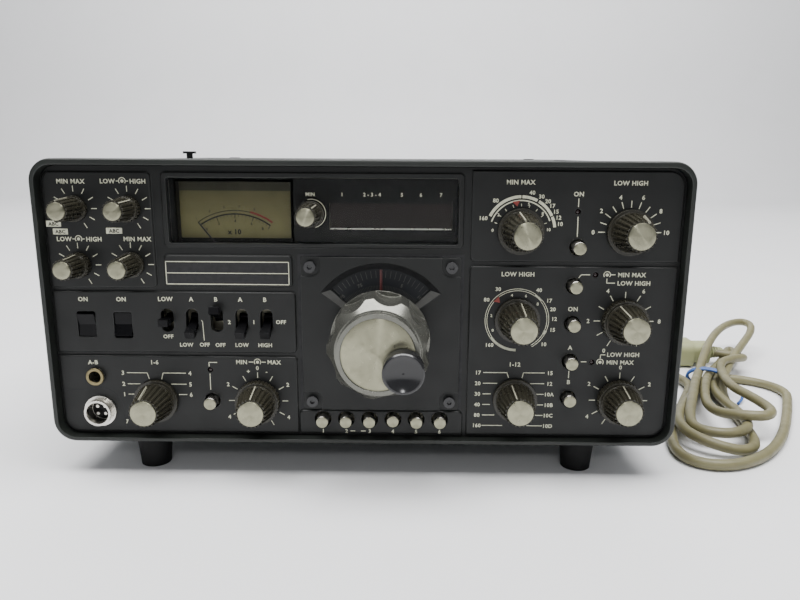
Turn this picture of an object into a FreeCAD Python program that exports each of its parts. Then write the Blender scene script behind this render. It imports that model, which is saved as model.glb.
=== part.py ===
"""Desktop short-wave transceiver, built as a parametric assembly of separate pieces.

Frame: +Z up, the front faces -Y, +X is to the right of a person at the front.
Origin: under the middle of the whole set, at the surface the feet stand on.

Front pieces are drawn face-on: their own X is the part's X, their own Y is the height above
the bezel's lower edge, and their own Z is the distance in front of the bezel's front plane.
"""

import FreeCAD, Part
import math
import os

import Sketcher

Vector = FreeCAD.Vector
PARTS_FOLDER = "parts"

# Driving dimensions, in millimetres. Each one becomes a named cell of the sheet.
SIZES = {
    # cabinet
    "case_width": 342.0,
    "case_height": 154.0,
    "case_depth": 280.0,
    "corner_radius": 12.0,
    "foot_height": 20.0,
    "front_reach": 44.0,
    "rear_reach": 312.0,
    # bezel
    "bezel_depth": 18.0,
    "bezel_side": 2.7,
    "bezel_base": 2.3,
    "bezel_top": 3.2,
    "bezel_ledge": 4.0,
    # covers
    "cover_inset": 1.0,
    "cover_wall": 1.2,
    "cover_split": 77.0,
    "vent_width": 3.0,
    "vent_length": 34.0,
    "vent_pitch": 9.0,
    # feet
    "foot_base_radius": 8.25,
    "foot_top_radius": 10.3,
    "foot_spread": 122.5,
    "foot_front": 19.0,
    "foot_rear": 255.0,
    "foot_screw_radius": 4.0,
    "foot_screw_depth": 13.0,
    # front panel
    "panel_recess": 5.0,
    "panel_step": 1.5,
    "panel_thickness": 3.0,
    "panel_gap": 0.2,
    "field_chamfer": 0.6,
    "field_corner": 2.5,
    "window_left": -102.0,
    "window_right": 50.5,
    "window_base": 110.3,
    "window_top": 144.6,
    "window_rim": 2.8,
    "window_depth": 7.5,
    "window_glass": 2.0,
    # openings of the front panel
    "shaft_hole": 5.3,
    "button_hole": 4.3,
    "memory_hole": 4.6,
    "lamp_hole": 1.5,
    "rocker_width": 9.9,
    "rocker_height": 14.3,
    "slot_width": 6.8,
    "slot_height": 12.8,
    # tuning panel and dial
    "tuning_x": 9.7,
    "tuning_z": 60.7,
    "tuning_panel_size": 85.4,
    "arc_outer": 36.6,
    "arc_inner": 24.0,
    "arc_half_angle": 47.0,
    "arc_step": 0.8,
    "arc_step_outer": 39.6,
    "arc_step_half_angle": 54.0,
    "dial_opening": 42.0,
    "dial_radius": 41.2,
    "dial_thickness": 1.5,
    "dial_depth": 8.7,
    "dial_hub_radius": 6.0,
    "dial_hub_length": 6.3,
    "screw_x": 37.7,
    "screw_z": 37.6,
    "screw_head": 3.2,
    "screw_notch": 5.2,
    "notch_depth": 0.9,
    "screw_shank": 1.5,
    # shafts and knobs
    "shaft_radius": 3.0,
    "shaft_depth": 30.0,
    "sleeve_radius": 4.8,
    "sleeve_bore": 3.5,
    "sleeve_depth": 17.0,
    "knob_lift": 0.6,
    "ring_gap": 0.4,
    "cap_thickness": 0.8,
    "small_skirt": 6.8,
    "small_skirt_thickness": 2.0,
    "small_ring_thickness": 4.0,
    "small_rear": 6.1,
    "small_front": 5.4,
    "small_cap": 4.4,
    "small_flute": 0.55,
    "large_skirt": 12.0,
    "large_skirt_thickness": 2.4,
    "large_ring_thickness": 5.0,
    "large_rear": 10.5,
    "large_front": 7.9,
    "large_cap": 6.7,
    "large_flute": 0.85,
    # tuning knob
    "tuning_ring": 24.5,
    "tuning_ring_end": 7.0,
    "tuning_skirt": 26.4,
    "tuning_skirt_end": 27.0,
    "tuning_neck": 21.8,
    "tuning_neck_end": 33.0,
    "tuning_rim": 20.9,
    "tuning_rim_end": 37.5,
    "tuning_disc": 18.6,
    "tuning_disc_recess": 0.6,
    "scallop_radius": 14.0,
    "scallop_centre": 37.7,
    "grip_x": 12.6,
    "grip_z": -5.9,
    "grip_radius": 10.3,
    "grip_collar": 9.4,
    "grip_pin": 2.5,
    "grip_dish": 19.1,
    "grip_dish_depth": 2.2,
    # buttons, rockers and levers
    "button_radius": 3.4,
    "memory_radius": 3.3,
    "button_proud": 6.0,
    "memory_proud": 5.2,
    "button_rear": 13.0,
    "latched_in": 1.6,
    "rocker_pivot": 8.0,
    "rocker_half_width": 4.6,
    "rocker_half_height": 6.3,
    "rocker_tip": 3.4,
    "rocker_valley": 2.2,
    "rocker_back": -2.0,
    "rocker_keel": -4.5,
    "rocker_tilt": 8.0,
    "lever_pivot": 14.0,
    "lever_width": 4.6,
    "lever_thickness": 2.6,
    "lever_tip_start": 11.7,
    "lever_length": 16.6,
    "lever_tip_width": 5.2,
    "lever_tip_height": 3.8,
    "lever_hub": 2.3,
    "lever_tilt": 25.0,
    # meter
    "meter_left": -99.5,
    "meter_right": -36.5,
    "meter_base": 90.0,
    "meter_top": 143.5,
    "meter_wall": 1.2,
    "meter_face_depth": 15.0,
    "needle_x": -69.4,
    "needle_z": 96.0,
    "needle_length": 31.0,
    "needle_width": 0.7,
    "needle_depth": 13.2,
    "needle_tilt": 37.6,
    "readout_left": -20.0,
    "readout_right": 49.5,
    # sockets of the front panel
    "phones_x": -147.1,
    "phones_z": 36.5,
    "phones_nut": 4.6,
    "phones_bore": 3.25,
    "phones_depth": 36.0,
    "mic_x": -146.2,
    "mic_z": 16.4,
    "mic_flange": 8.8,
    "mic_shell": 7.3,
    "mic_bore": 6.1,
    "mic_proud": 5.0,
    "mic_cup_depth": 8.0,
    # chassis
    "sheet": 1.5,
    "apron_half_width": 168.0,
    "rail_base": 40.0,
    "rail_top": 95.0,
    "deck_height": 42.0,
    "deck_start": 45.0,
    "rear_apron": 276.0,
    # fan and output cage
    "fan_x": 110.0,
    "fan_z": 86.0,
    "fan_radius": 35.0,
    "fan_hub": 13.0,
    "fan_depth": 272.0,
    "fan_thickness": 12.0,
    "cage_half": 42.5,
    "cage_length": 92.0,
    # control bodies
    "control_small": 8.0,
    "control_large": 10.0,
    "control_length": 12.0,
    # rear sockets
    "aerial_x": 32.0,
    "aerial_z": 108.0,
    "aerial_radius": 7.94,
    "aerial_length": 15.0,
    "mains_x": 45.0,
    "mains_z": 22.0,
    "relief_base": 7.0,
    "relief_tip": 4.2,
    "relief_start": 290.0,
    # mains lead, its tied loops and its plug
    "cord_radius": 3.25,
    "front_loops_x": 246.0,
    "front_loops_y": -36.0,
    "front_loops_major": 106.0,
    "front_loops_minor": 45.0,
    "front_loops_height": 24.0,
    "front_loops_angle": 61.3,
    "rear_loops_x": 300.0,
    "rear_loops_y": 86.0,
    "rear_loops_major": 76.0,
    "rear_loops_minor": 32.0,
    "rear_loops_height": 32.0,
    "rear_loops_angle": 60.0,
    "plug_x": 283.0,
    "plug_y": 85.0,
    "plug_width": 28.0,
    "plug_height": 22.0,
    "plug_length": 38.0,
    "plug_pin_length": 18.0,
}

# Route of the lead from the mains entry round the rear corner to the tied loops.
LEAD_ROUTE = (
    (45.0, 178.0, 42.0),
    (45.0, 204.0, 42.0),
    (50.0, 232.0, 31.0),
    (68.0, 254.0, 15.0),
    (98.0, 262.0, 4.6),
    (134.0, 256.0, 3.6),
    (168.0, 238.0, 3.6),
    (194.0, 208.0, 3.6),
    (209.0, 172.0, 3.6),
    (215.0, 134.0, 3.6),
    (216.0, 96.0, 3.6),
    (223.0, 60.0, 3.6),
    (243.0, 28.0, 4.6),
)

# Rotary controls: place, distance of the cap in front of the bezel, style, and the name of the
# ring that turns behind the knob on a hollow shaft, if there is one.
ROTARY = {
    "vox_gain": (-150.6, 128.2, 14.8, "small", None),
    "carrier": (-122.4, 128.3, 15.0, "small", "keyer_ring"),
    "mic_gain": (-150.8, 98.4, 14.2, "small", "squelch_ring"),
    "peak_filter": (-122.7, 98.8, 14.8, "small", None),
    "dimmer": (-26.8, 126.1, 15.2, "small", None),
    "mode": (-114.5, 22.7, 16.0, "large", None),
    "width": (-58.0, 22.9, 15.8, "large", "reject_ring"),
    "plate": (82.8, 117.8, 18.5, "large", None),
    "loading": (139.7, 117.6, 15.0, "large", None),
    "preselect": (82.9, 70.0, 19.2, "large", None),
    "band": (83.4, 25.0, 16.2, "large", None),
    "af_gain": (140.1, 69.9, 17.2, "large", "processor_ring"),
    "clarifier": (140.3, 25.0, 15.2, "large", "rf_gain_ring"),
}
FLUTES = {"small": 16, "large": 22}
SCALLOPS = 9

# Round push buttons beside the knobs.
BUTTONS = {
    "reject_button": (-83.5, 22.8),
    "tune_button": (113.1, 109.5),
    "processor_button": (112.4, 88.9),
    "attenuator_button": (112.6, 68.1),
    "receive_offset_button": (112.5, 47.1),
    "transmit_offset_button": (112.6, 26.1),
}

# Row of buttons under the tuning knob; the fourth is latched in.
MEMORY_FIRST = -22.4
MEMORY_PITCH = 12.95
MEMORY_HEIGHT = 12.5
MEMORY_COUNT = 6
MEMORY_LATCHED = 4

# Rockers and levers: place and the way each one is thrown (+1 up, 0 middle, -1 down).
ROCKERS = {"power_rocker": (-149.75, 65.85, 1), "heater_rocker": (-130.0, 65.45, -1)}
LEVER_FIRST = -105.7
LEVER_PITCH = 13.42
LEVER_HEIGHT = 68.4
LEVER_THROWS = (0, -1, 1, -1, -1)

# Pilot lamp holes of the front panel.
LAMPS = ((112.3, 128.1), (123.6, 94.9), (124.7, 46.7), (-84.0, 40.5))

# Raised fields of the front panel: left, right, base, top.
FIELDS = (
    (-168.0, -110.0, 86.0, 147.3),
    (-105.7, -37.2, 86.7, 104.0),
    (-168.0, -36.0, 50.2, 84.2),
    (-168.0, -36.0, 2.7, 48.3),
    (-35.4, 55.0, 2.7, 17.6),
    (57.0, 168.0, 101.5, 150.4),
    (57.0, 168.0, 2.7, 99.3),
)

# Snap fasteners of the top cover: x and distance behind the bezel. The first stands pulled up.
LATCHES = ((-131.0, 140.0), (131.0, 140.0), (-131.0, 268.0), (131.0, 268.0))
LATCH_STEM = 2.2
LATCH_HEAD = 4.6
LATCH_PULLED = 5.2
LATCH_SEATED = 0.5
LATCH_TAIL = 7.5

FRONT = "(Sizes.front_reach - Sizes.rear_reach) / 2"
FACE_ON = FreeCAD.Rotation(Vector(1, 0, 0), 90)

doc = FreeCAD.newDocument("transceiver")


# ---------------------------------------------------------------- helpers

def make_sheet():
    """The spreadsheet that holds every driving dimension under its own name."""
    sheet = doc.addObject("Spreadsheet::Sheet", "Sizes")
    cells = dict(SIZES)
    for name, (x, z, cap, _, _) in ROTARY.items():
        cells[name + "_x"] = x
        cells[name + "_z"] = z
        cells[name + "_cap"] = cap
    for row, (alias, number) in enumerate(cells.items(), start=1):
        sheet.set(f"A{row}", alias)
        sheet.set(f"B{row}", str(number))
        sheet.setAlias(f"B{row}", alias)
    doc.recompute()
    return sheet


sizes = make_sheet()


def size(expression):
    """The present value of an expression that names cells of the sheet."""
    return float(sizes.evalExpression(str(expression)))


def new_body(name):
    body = doc.addObject("PartDesign::Body", name)
    body.Label = name
    return body


def origin_feature(body, role):
    return [item for item in body.Origin.OriginFeatures if item.Role == role][0]


def place(item, x=0, height=0, depth=0, rotation=FACE_ON):
    """Stand a face-on piece at x, a height above the bezel's edge and a depth behind its front."""
    item.Placement = FreeCAD.Placement(Vector(), rotation)
    item.setExpression("Placement.Base.x", str(x))
    item.setExpression("Placement.Base.y", f"{FRONT} + {depth}")
    item.setExpression("Placement.Base.z", f"Sizes.foot_height + {height}")


def attach(item, body, x=0, y=0, z=0, role="XY_Plane", rotation=None):
    """Lay a feature on one of its own body's planes, moved by x, y and z."""
    item.AttachmentSupport = [(origin_feature(body, role), "")]
    item.MapMode = "FlatFace"
    if rotation is not None:
        item.AttachmentOffset = FreeCAD.Placement(Vector(), rotation)
    item.setExpression("AttachmentOffset.Base.x", str(x))
    item.setExpression("AttachmentOffset.Base.y", str(y))
    item.setExpression("AttachmentOffset.Base.z", str(z))


def new_sketch(body, name, z=0, role="XY_Plane", x=0, y=0, rotation=None):
    sketch = body.newObject("Sketcher::SketchObject", name)
    attach(sketch, body, x, y, z, role, rotation)
    return sketch


def constrain(sketch, kind, *target, expression):
    """Add a constraint and bind it to an expression."""
    index = sketch.addConstraint(Sketcher.Constraint(kind, *target, size(expression)))
    sketch.setExpression(f"Constraints[{index}]", str(expression))


def draw_circle(sketch, x, y, radius):
    centre = Vector(size(x), size(y), 0)
    circle = sketch.addGeometry(Part.Circle(centre, Vector(0, 0, 1), size(radius)), False)
    constrain(sketch, "DistanceX", -1, 1, circle, 3, expression=x)
    constrain(sketch, "DistanceY", -1, 1, circle, 3, expression=y)
    constrain(sketch, "Radius", circle, expression=radius)


def draw_rectangle(sketch, left, right, base, top, corner):
    """A rectangle with round corners; every argument is an expression."""
    x0, x1, y0, y1, r = (size(item) for item in (left, right, base, top, corner))
    corners = (
        ((x0 + r, y0), (x1 - r, y0), (x1 - r, y0 + r), -90),
        ((x1, y0 + r), (x1, y1 - r), (x1 - r, y1 - r), 0),
        ((x1 - r, y1), (x0 + r, y1), (x0 + r, y1 - r), 90),
        ((x0, y1 - r), (x0, y0 + r), (x0 + r, y0 + r), 180),
    )
    lines = []
    arcs = []
    for start, end, centre, angle in corners:
        line = Part.LineSegment(Vector(*start, 0), Vector(*end, 0))
        lines.append(sketch.addGeometry(line, False))
        circle = Part.Circle(Vector(*centre, 0), Vector(0, 0, 1), r)
        arc = Part.ArcOfCircle(circle, math.radians(angle), math.radians(angle + 90))
        arcs.append(sketch.addGeometry(arc, False))
    joints = []
    for index in range(4):
        following = lines[(index + 1) % 4]
        joints.append(Sketcher.Constraint("Tangent", lines[index], 2, arcs[index], 1))
        joints.append(Sketcher.Constraint("Tangent", arcs[index], 2, following, 1))
    joints.append(Sketcher.Constraint("Horizontal", lines[0]))
    joints.append(Sketcher.Constraint("Horizontal", lines[2]))
    joints.append(Sketcher.Constraint("Vertical", lines[1]))
    joints.append(Sketcher.Constraint("Vertical", lines[3]))
    for arc in arcs[1:]:
        joints.append(Sketcher.Constraint("Equal", arcs[0], arc))
    sketch.addConstraint(joints)
    constrain(sketch, "DistanceX", -1, 1, lines[3], 1, expression=left)
    constrain(sketch, "DistanceX", -1, 1, lines[1], 1, expression=right)
    constrain(sketch, "DistanceY", -1, 1, lines[0], 1, expression=base)
    constrain(sketch, "DistanceY", -1, 1, lines[2], 1, expression=top)
    constrain(sketch, "Radius", arcs[0], expression=corner)


def draw_polygon(sketch, points):
    """A closed outline of straight lines; each point is a pair of expressions."""
    lines = []
    for index, (x, y) in enumerate(points):
        next_x, next_y = points[(index + 1) % len(points)]
        start = Vector(size(x), size(y), 0)
        end = Vector(size(next_x), size(next_y), 0)
        lines.append(sketch.addGeometry(Part.LineSegment(start, end), False))
    for index, line in enumerate(lines):
        following = lines[(index + 1) % len(lines)]
        sketch.addConstraint(Sketcher.Constraint("Coincident", line, 2, following, 1))
    for line, (x, y) in zip(lines, points):
        constrain(sketch, "DistanceX", -1, 1, line, 1, expression=x)
        constrain(sketch, "DistanceY", -1, 1, line, 1, expression=y)


def pad(body, name, sketch, length, backwards=True):
    feature = body.newObject("PartDesign::Pad", name)
    feature.Profile = sketch
    feature.setExpression("Length", str(length))
    feature.Reversed = backwards
    body.Tip = feature
    return feature


def pocket(body, name, sketch, depth):
    """Cut a sketch backwards into the body."""
    feature = body.newObject("PartDesign::Pocket", name)
    feature.Profile = sketch
    feature.setExpression("Length", str(depth))
    body.Tip = feature
    return feature


def cylinder(body, name, radius, length, x=0, y=0, z=0, cut=False, role="XY_Plane"):
    kind = "PartDesign::SubtractiveCylinder" if cut else "PartDesign::AdditiveCylinder"
    feature = body.newObject(kind, name)
    attach(feature, body, x, y, z, role)
    feature.setExpression("Radius", str(radius))
    feature.setExpression("Height", str(length))
    body.Tip = feature
    return feature


def cone(body, name, base_radius, top_radius, length, x=0, y=0, z=0):
    feature = body.newObject("PartDesign::AdditiveCone", name)
    attach(feature, body, x, y, z)
    feature.setExpression("Radius1", str(base_radius))
    feature.setExpression("Radius2", str(top_radius))
    feature.setExpression("Height", str(length))
    body.Tip = feature
    return feature


def box(body, name, left, right, base, top, back, front, cut=False):
    """A box of a face-on piece; back and front are distances in front of the bezel."""
    kind = "PartDesign::SubtractiveBox" if cut else "PartDesign::AdditiveBox"
    feature = body.newObject(kind, name)
    attach(feature, body, left, base, back)
    feature.setExpression("Length", f"({right}) - ({left})")
    feature.setExpression("Width", f"({top}) - ({base})")
    feature.setExpression("Height", f"({front}) - ({back})")
    body.Tip = feature
    return feature


def repeat_round(body, name, feature, count):
    pattern = body.newObject("PartDesign::PolarPattern", name)
    pattern.Originals = [feature]
    pattern.Axis = (origin_feature(body, "Z_Axis"), [""])
    pattern.Angle = 360
    pattern.Occurrences = count
    body.Tip = pattern
    return pattern


def repeat_along(body, name, feature, length, count, role="X_Axis"):
    pattern = body.newObject("PartDesign::LinearPattern", name)
    pattern.Originals = [feature]
    pattern.Direction = (origin_feature(body, role), [""])
    pattern.setExpression("Length", str(length))
    pattern.Occurrences = count
    body.Tip = pattern
    return pattern


def group(name, pieces):
    """Several separate solids that make one node."""
    compound = doc.addObject("Part::Compound", name)
    compound.Label = name
    compound.Links = pieces
    return compound


NODES = []


def keep(item):
    NODES.append(item)
    return item


# ---------------------------------------------------------------- cabinet

HALF_WIDTH = "Sizes.case_width / 2"


def front_bezel():
    """Moulded frame round the front, with a ledge inside that carries the front panel."""
    body = new_body("front_bezel")
    place(body)
    outline = new_sketch(body, "bezel_outline")
    draw_rectangle(outline, f"-{HALF_WIDTH}", HALF_WIDTH, 0, "Sizes.case_height",
                   "Sizes.corner_radius")
    ring = pad(body, "bezel_block", outline, "Sizes.bezel_depth")
    doc.recompute()
    front_edges = [f"Edge{index + 1}" for index, edge in enumerate(ring.Shape.Edges)
                   if edge.BoundBox.ZMin > -0.01 and edge.BoundBox.ZMax < 0.01]
    rounding = body.newObject("PartDesign::Fillet", "bezel_rounding")
    rounding.Base = (ring, front_edges)
    rounding.Radius = 1.2
    body.Tip = rounding
    mouth = new_sketch(body, "bezel_mouth")
    draw_rectangle(mouth, "Sizes.bezel_side - Sizes.case_width / 2",
                   "Sizes.case_width / 2 - Sizes.bezel_side", "Sizes.bezel_base",
                   "Sizes.case_height - Sizes.bezel_top",
                   "Sizes.corner_radius - Sizes.bezel_side")
    pocket(body, "bezel_mouth_cut", mouth,
           "Sizes.panel_recess + Sizes.panel_step + Sizes.panel_thickness")
    throat = new_sketch(body, "bezel_throat")
    side = "(Sizes.case_width / 2 - Sizes.bezel_side - Sizes.bezel_ledge)"
    draw_rectangle(throat, f"-{side}", side, "Sizes.bezel_base + Sizes.bezel_ledge",
                   "Sizes.case_height - Sizes.bezel_top - Sizes.bezel_ledge",
                   "Sizes.corner_radius - Sizes.bezel_side - Sizes.bezel_ledge")
    pocket(body, "bezel_throat_cut", throat, "Sizes.bezel_depth")
    return body


def cover(name, upper):
    """Half of the sheet-metal wrap: a shell with two sides, and slots for the cooling air."""
    body = new_body(name)
    place(body)
    half = "(Sizes.case_width / 2 - Sizes.cover_inset)"
    low = "Sizes.cover_inset"
    high = "(Sizes.case_height - Sizes.cover_inset)"
    length = "Sizes.case_depth - Sizes.bezel_depth"
    outside = new_sketch(body, name + "_outside", "-Sizes.bezel_depth")
    draw_rectangle(outside, f"-{half}", half, low, high,
                   "Sizes.corner_radius - Sizes.cover_inset")
    pad(body, name + "_block", outside, length)
    inside = new_sketch(body, name + "_inside", "-Sizes.bezel_depth")
    draw_rectangle(inside, f"Sizes.cover_wall - {half}", f"{half} - Sizes.cover_wall",
                   f"{low} + Sizes.cover_wall", f"{high} - Sizes.cover_wall",
                   "Sizes.corner_radius - Sizes.cover_inset - Sizes.cover_wall")
    pocket(body, name + "_hollow", inside, length)
    if upper:
        base, top = "-1", "Sizes.cover_split"
    else:
        base, top = "Sizes.cover_split", "Sizes.case_height + 1"
    box(body, name + "_parting", f"-{HALF_WIDTH}", HALF_WIDTH, base, top,
        "-Sizes.case_depth - 1", "1 - Sizes.bezel_depth", cut=True)
    wall_base = f"{high} - 2 * Sizes.cover_wall" if upper else "0"
    wall_top = "Sizes.case_height" if upper else f"{low} + 2 * Sizes.cover_wall"
    for bank, first in (("left", -150), ("right", 60)):
        for row in range(3):
            front = f"-150 - {row} * (Sizes.vent_length + 6)"
            slot = box(body, f"{name}_slot_{bank}_{row}", first, f"{first} + Sizes.vent_width",
                       wall_base, wall_top, f"{front} - Sizes.vent_length", front, cut=True)
            repeat_along(body, f"{name}_slots_{bank}_{row}", slot, "Sizes.vent_pitch * 10", 11)
    if upper:
        for index, (x, depth) in enumerate(LATCHES):
            bore = body.newObject("PartDesign::SubtractiveCylinder", f"latch_bore_{index}")
            upright = FreeCAD.Rotation(Vector(1, 0, 0), -90)
            attach(bore, body, x, f"{high} - 3", -depth, rotation=upright)
            bore.Radius = LATCH_STEM + 0.2
            bore.Height = 6
            body.Tip = bore
    return body


def snap_fastener(index, x, depth, proud):
    """Split plastic pin with a flanged head, pushed through a cover hole."""
    body = new_body(f"latch_{index}")
    upright = FreeCAD.Rotation()
    place(body, x, "Sizes.case_height - Sizes.cover_inset", depth, rotation=upright)
    thickness = min(1.6, proud - 0.1)
    cylinder(body, f"latch_head_{index}", LATCH_HEAD, thickness, z=proud - thickness)
    cylinder(body, f"latch_stem_{index}", LATCH_STEM, LATCH_TAIL + proud - 0.2, z=-LATCH_TAIL)
    return body


def panel_screw(index, x, height):
    """Socket-head screw: round head with a hexagonal recess, and its shank."""
    body = new_body(f"panel_screw_{index}")
    place(body, f"Sizes.tuning_x + {x}", f"Sizes.tuning_z + {height}",
          "Sizes.panel_recess")
    cylinder(body, f"screw_head_{index}", "Sizes.screw_head", 2.6, z="-Sizes.notch_depth")
    cylinder(body, f"screw_shank_{index}", "Sizes.screw_shank", 7.2, z=-7)
    socket = new_sketch(body, f"screw_socket_{index}", "2.6 - Sizes.notch_depth")
    corners = [(1.3 * math.cos(math.radians(60 * k)), 1.3 * math.sin(math.radians(60 * k)))
               for k in range(6)]
    draw_polygon(socket, corners)
    pocket(body, f"screw_recess_{index}", socket, 1.4)
    return body


def case_fasteners():
    screws = []
    for index, (side, level) in enumerate(((-1, -1), (1, -1), (-1, 1), (1, 1))):
        screws.append(panel_screw(index, f"{side} * Sizes.screw_x", f"{level} * Sizes.screw_z"))
    for index, (x, depth) in enumerate(LATCHES):
        proud = LATCH_PULLED if index == 0 else LATCH_SEATED
        screws.append(snap_fastener(index, x, depth, proud))
    return group("case_fasteners", screws)


def feet():
    """Four tapered rubber feet, each with a hole for its screw."""
    pieces = []
    for index in range(4):
        side = -1 if index % 2 == 0 else 1
        under_bezel = index < 2
        depth = "Sizes.foot_front" if under_bezel else "Sizes.foot_rear"
        length = "Sizes.foot_height" if under_bezel else "Sizes.foot_height + Sizes.cover_inset"
        body = new_body(f"foot_{index}")
        place(body, f"{side} * Sizes.foot_spread", "-Sizes.foot_height", depth,
              rotation=FreeCAD.Rotation())
        cone(body, f"foot_cone_{index}", "Sizes.foot_base_radius", "Sizes.foot_top_radius",
             length)
        cylinder(body, f"foot_bore_{index}", "Sizes.foot_screw_radius",
                 "Sizes.foot_screw_depth", cut=True)
        pieces.append(body)
    return group("feet", pieces)


# ---------------------------------------------------------------- front panel

PANEL_BACK = "(Sizes.panel_recess + Sizes.panel_step + Sizes.panel_thickness)"
PANEL_BASE = "(Sizes.panel_recess + Sizes.panel_step)"


def memory_places():
    return [(MEMORY_FIRST + MEMORY_PITCH * index, MEMORY_HEIGHT) for index in range(MEMORY_COUNT)]


def lever_places():
    return [(LEVER_FIRST + LEVER_PITCH * index, LEVER_HEIGHT) for index in range(len(LEVER_THROWS))]


def front_panel():
    """Moulded panel: a base plate, raised fields with bevelled edges, and all the openings."""
    body = new_body("front_panel")
    place(body)
    side = "(Sizes.case_width / 2 - Sizes.bezel_side - Sizes.panel_gap)"
    plate = new_sketch(body, "panel_outline", f"-{PANEL_BASE}")
    draw_rectangle(plate, f"-{side}", side, "Sizes.bezel_base + Sizes.panel_gap",
                   "Sizes.case_height - Sizes.bezel_top - Sizes.panel_gap",
                   "Sizes.corner_radius - Sizes.bezel_side")
    pad(body, "panel_plate", plate, "Sizes.panel_thickness")
    fields = new_sketch(body, "panel_fields", f"-{PANEL_BASE}")
    for left, right, base, top in FIELDS:
        draw_rectangle(fields, left, right, base, top, "Sizes.field_corner")
    draw_rectangle(fields, "Sizes.window_left - Sizes.window_rim",
                   "Sizes.window_right + Sizes.window_rim",
                   "Sizes.window_base - Sizes.window_rim + 0.6",
                   "Sizes.window_top + Sizes.window_rim", "Sizes.field_corner")
    pad(body, "panel_raised_fields", fields, "Sizes.panel_step", backwards=False)
    border = new_sketch(body, "panel_border", "-Sizes.panel_recess")
    draw_rectangle(border, f"-{HALF_WIDTH}", HALF_WIDTH, -1, "Sizes.case_height + 1", 1)
    draw_rectangle(border, f"1.3 - {side}", f"{side} - 1.3", "Sizes.bezel_base + 1.7",
                   "Sizes.case_height - Sizes.bezel_top - 1.8",
                   "Sizes.corner_radius - Sizes.bezel_side - 1.3")
    raised = pocket(body, "panel_border_cut", border, "Sizes.panel_step")
    doc.recompute()
    level = -size("Sizes.panel_recess")
    rims = [f"Edge{index + 1}" for index, edge in enumerate(raised.Shape.Edges)
            if abs(edge.BoundBox.ZMin - level) < 0.01 and abs(edge.BoundBox.ZMax - level) < 0.01]
    bevel = body.newObject("PartDesign::Chamfer", "panel_bevels")
    bevel.Base = (raised, rims)
    bevel.setExpression("Size", "Sizes.field_chamfer")
    body.Tip = bevel
    holes = new_sketch(body, "panel_holes", 0)
    for name in ROTARY:
        if name != "dimmer":
            draw_circle(holes, f"Sizes.{name}_x", f"Sizes.{name}_z", "Sizes.shaft_hole")
    for x, height in BUTTONS.values():
        draw_circle(holes, x, height, "Sizes.button_hole")
    for x, height in memory_places():
        draw_circle(holes, x, height, "Sizes.memory_hole")
    for x, height in LAMPS:
        draw_circle(holes, x, height, "Sizes.lamp_hole")
    draw_circle(holes, "Sizes.tuning_x", "Sizes.tuning_z", "Sizes.dial_opening")
    for level in (-1, 1):
        for way in (-1, 1):
            draw_circle(holes, f"Sizes.tuning_x + {way} * Sizes.screw_x",
                        f"Sizes.tuning_z + {level} * Sizes.screw_z", "Sizes.screw_shank + 0.1")
    draw_circle(holes, "Sizes.phones_x", "Sizes.phones_z", "Sizes.phones_nut - 0.3")
    draw_circle(holes, "Sizes.mic_x", "Sizes.mic_z", "Sizes.mic_shell + 0.2")
    pocket(body, "panel_bores", holes, f"{PANEL_BACK} + 1")
    slots = new_sketch(body, "panel_slots", 0)
    for x, height, _ in ROCKERS.values():
        draw_rectangle(slots, f"{x} - Sizes.rocker_width / 2", f"{x} + Sizes.rocker_width / 2",
                       f"{height} - Sizes.rocker_height / 2",
                       f"{height} + Sizes.rocker_height / 2", 0.8)
    for x, height in lever_places():
        draw_rectangle(slots, f"{x} - Sizes.slot_width / 2", f"{x} + Sizes.slot_width / 2",
                       f"{height} - Sizes.slot_height / 2", f"{height} + Sizes.slot_height / 2",
                       "Sizes.slot_width / 2 - 0.05")
    draw_rectangle(slots, "Sizes.window_left", "Sizes.window_right", "Sizes.window_base",
                   "Sizes.window_top", 1.5)
    pocket(body, "panel_openings", slots, f"{PANEL_BACK} + 1")
    return body


def display_window():
    """Clear plate over the meter and the readout, and the readout's own housing behind it."""
    glass = new_body("window_glass")
    place(glass)
    outline = new_sketch(glass, "glass_outline", "-Sizes.window_depth")
    draw_rectangle(outline, "Sizes.window_left + 0.15", "Sizes.window_right - 0.15",
                   "Sizes.window_base + 0.15", "Sizes.window_top - 0.15", 1.4)
    draw_circle(outline, "Sizes.dimmer_x", "Sizes.dimmer_z", "Sizes.shaft_radius + 0.6")
    pad(glass, "glass_plate", outline, "Sizes.window_glass")
    readout = new_body("readout_housing")
    place(readout)
    box(readout, "readout_box", "Sizes.readout_left", "Sizes.readout_right", 112, 141,
        "-Sizes.bezel_depth", "-Sizes.bezel_depth + 6.5")
    return group("display_window", [glass, readout])


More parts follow.
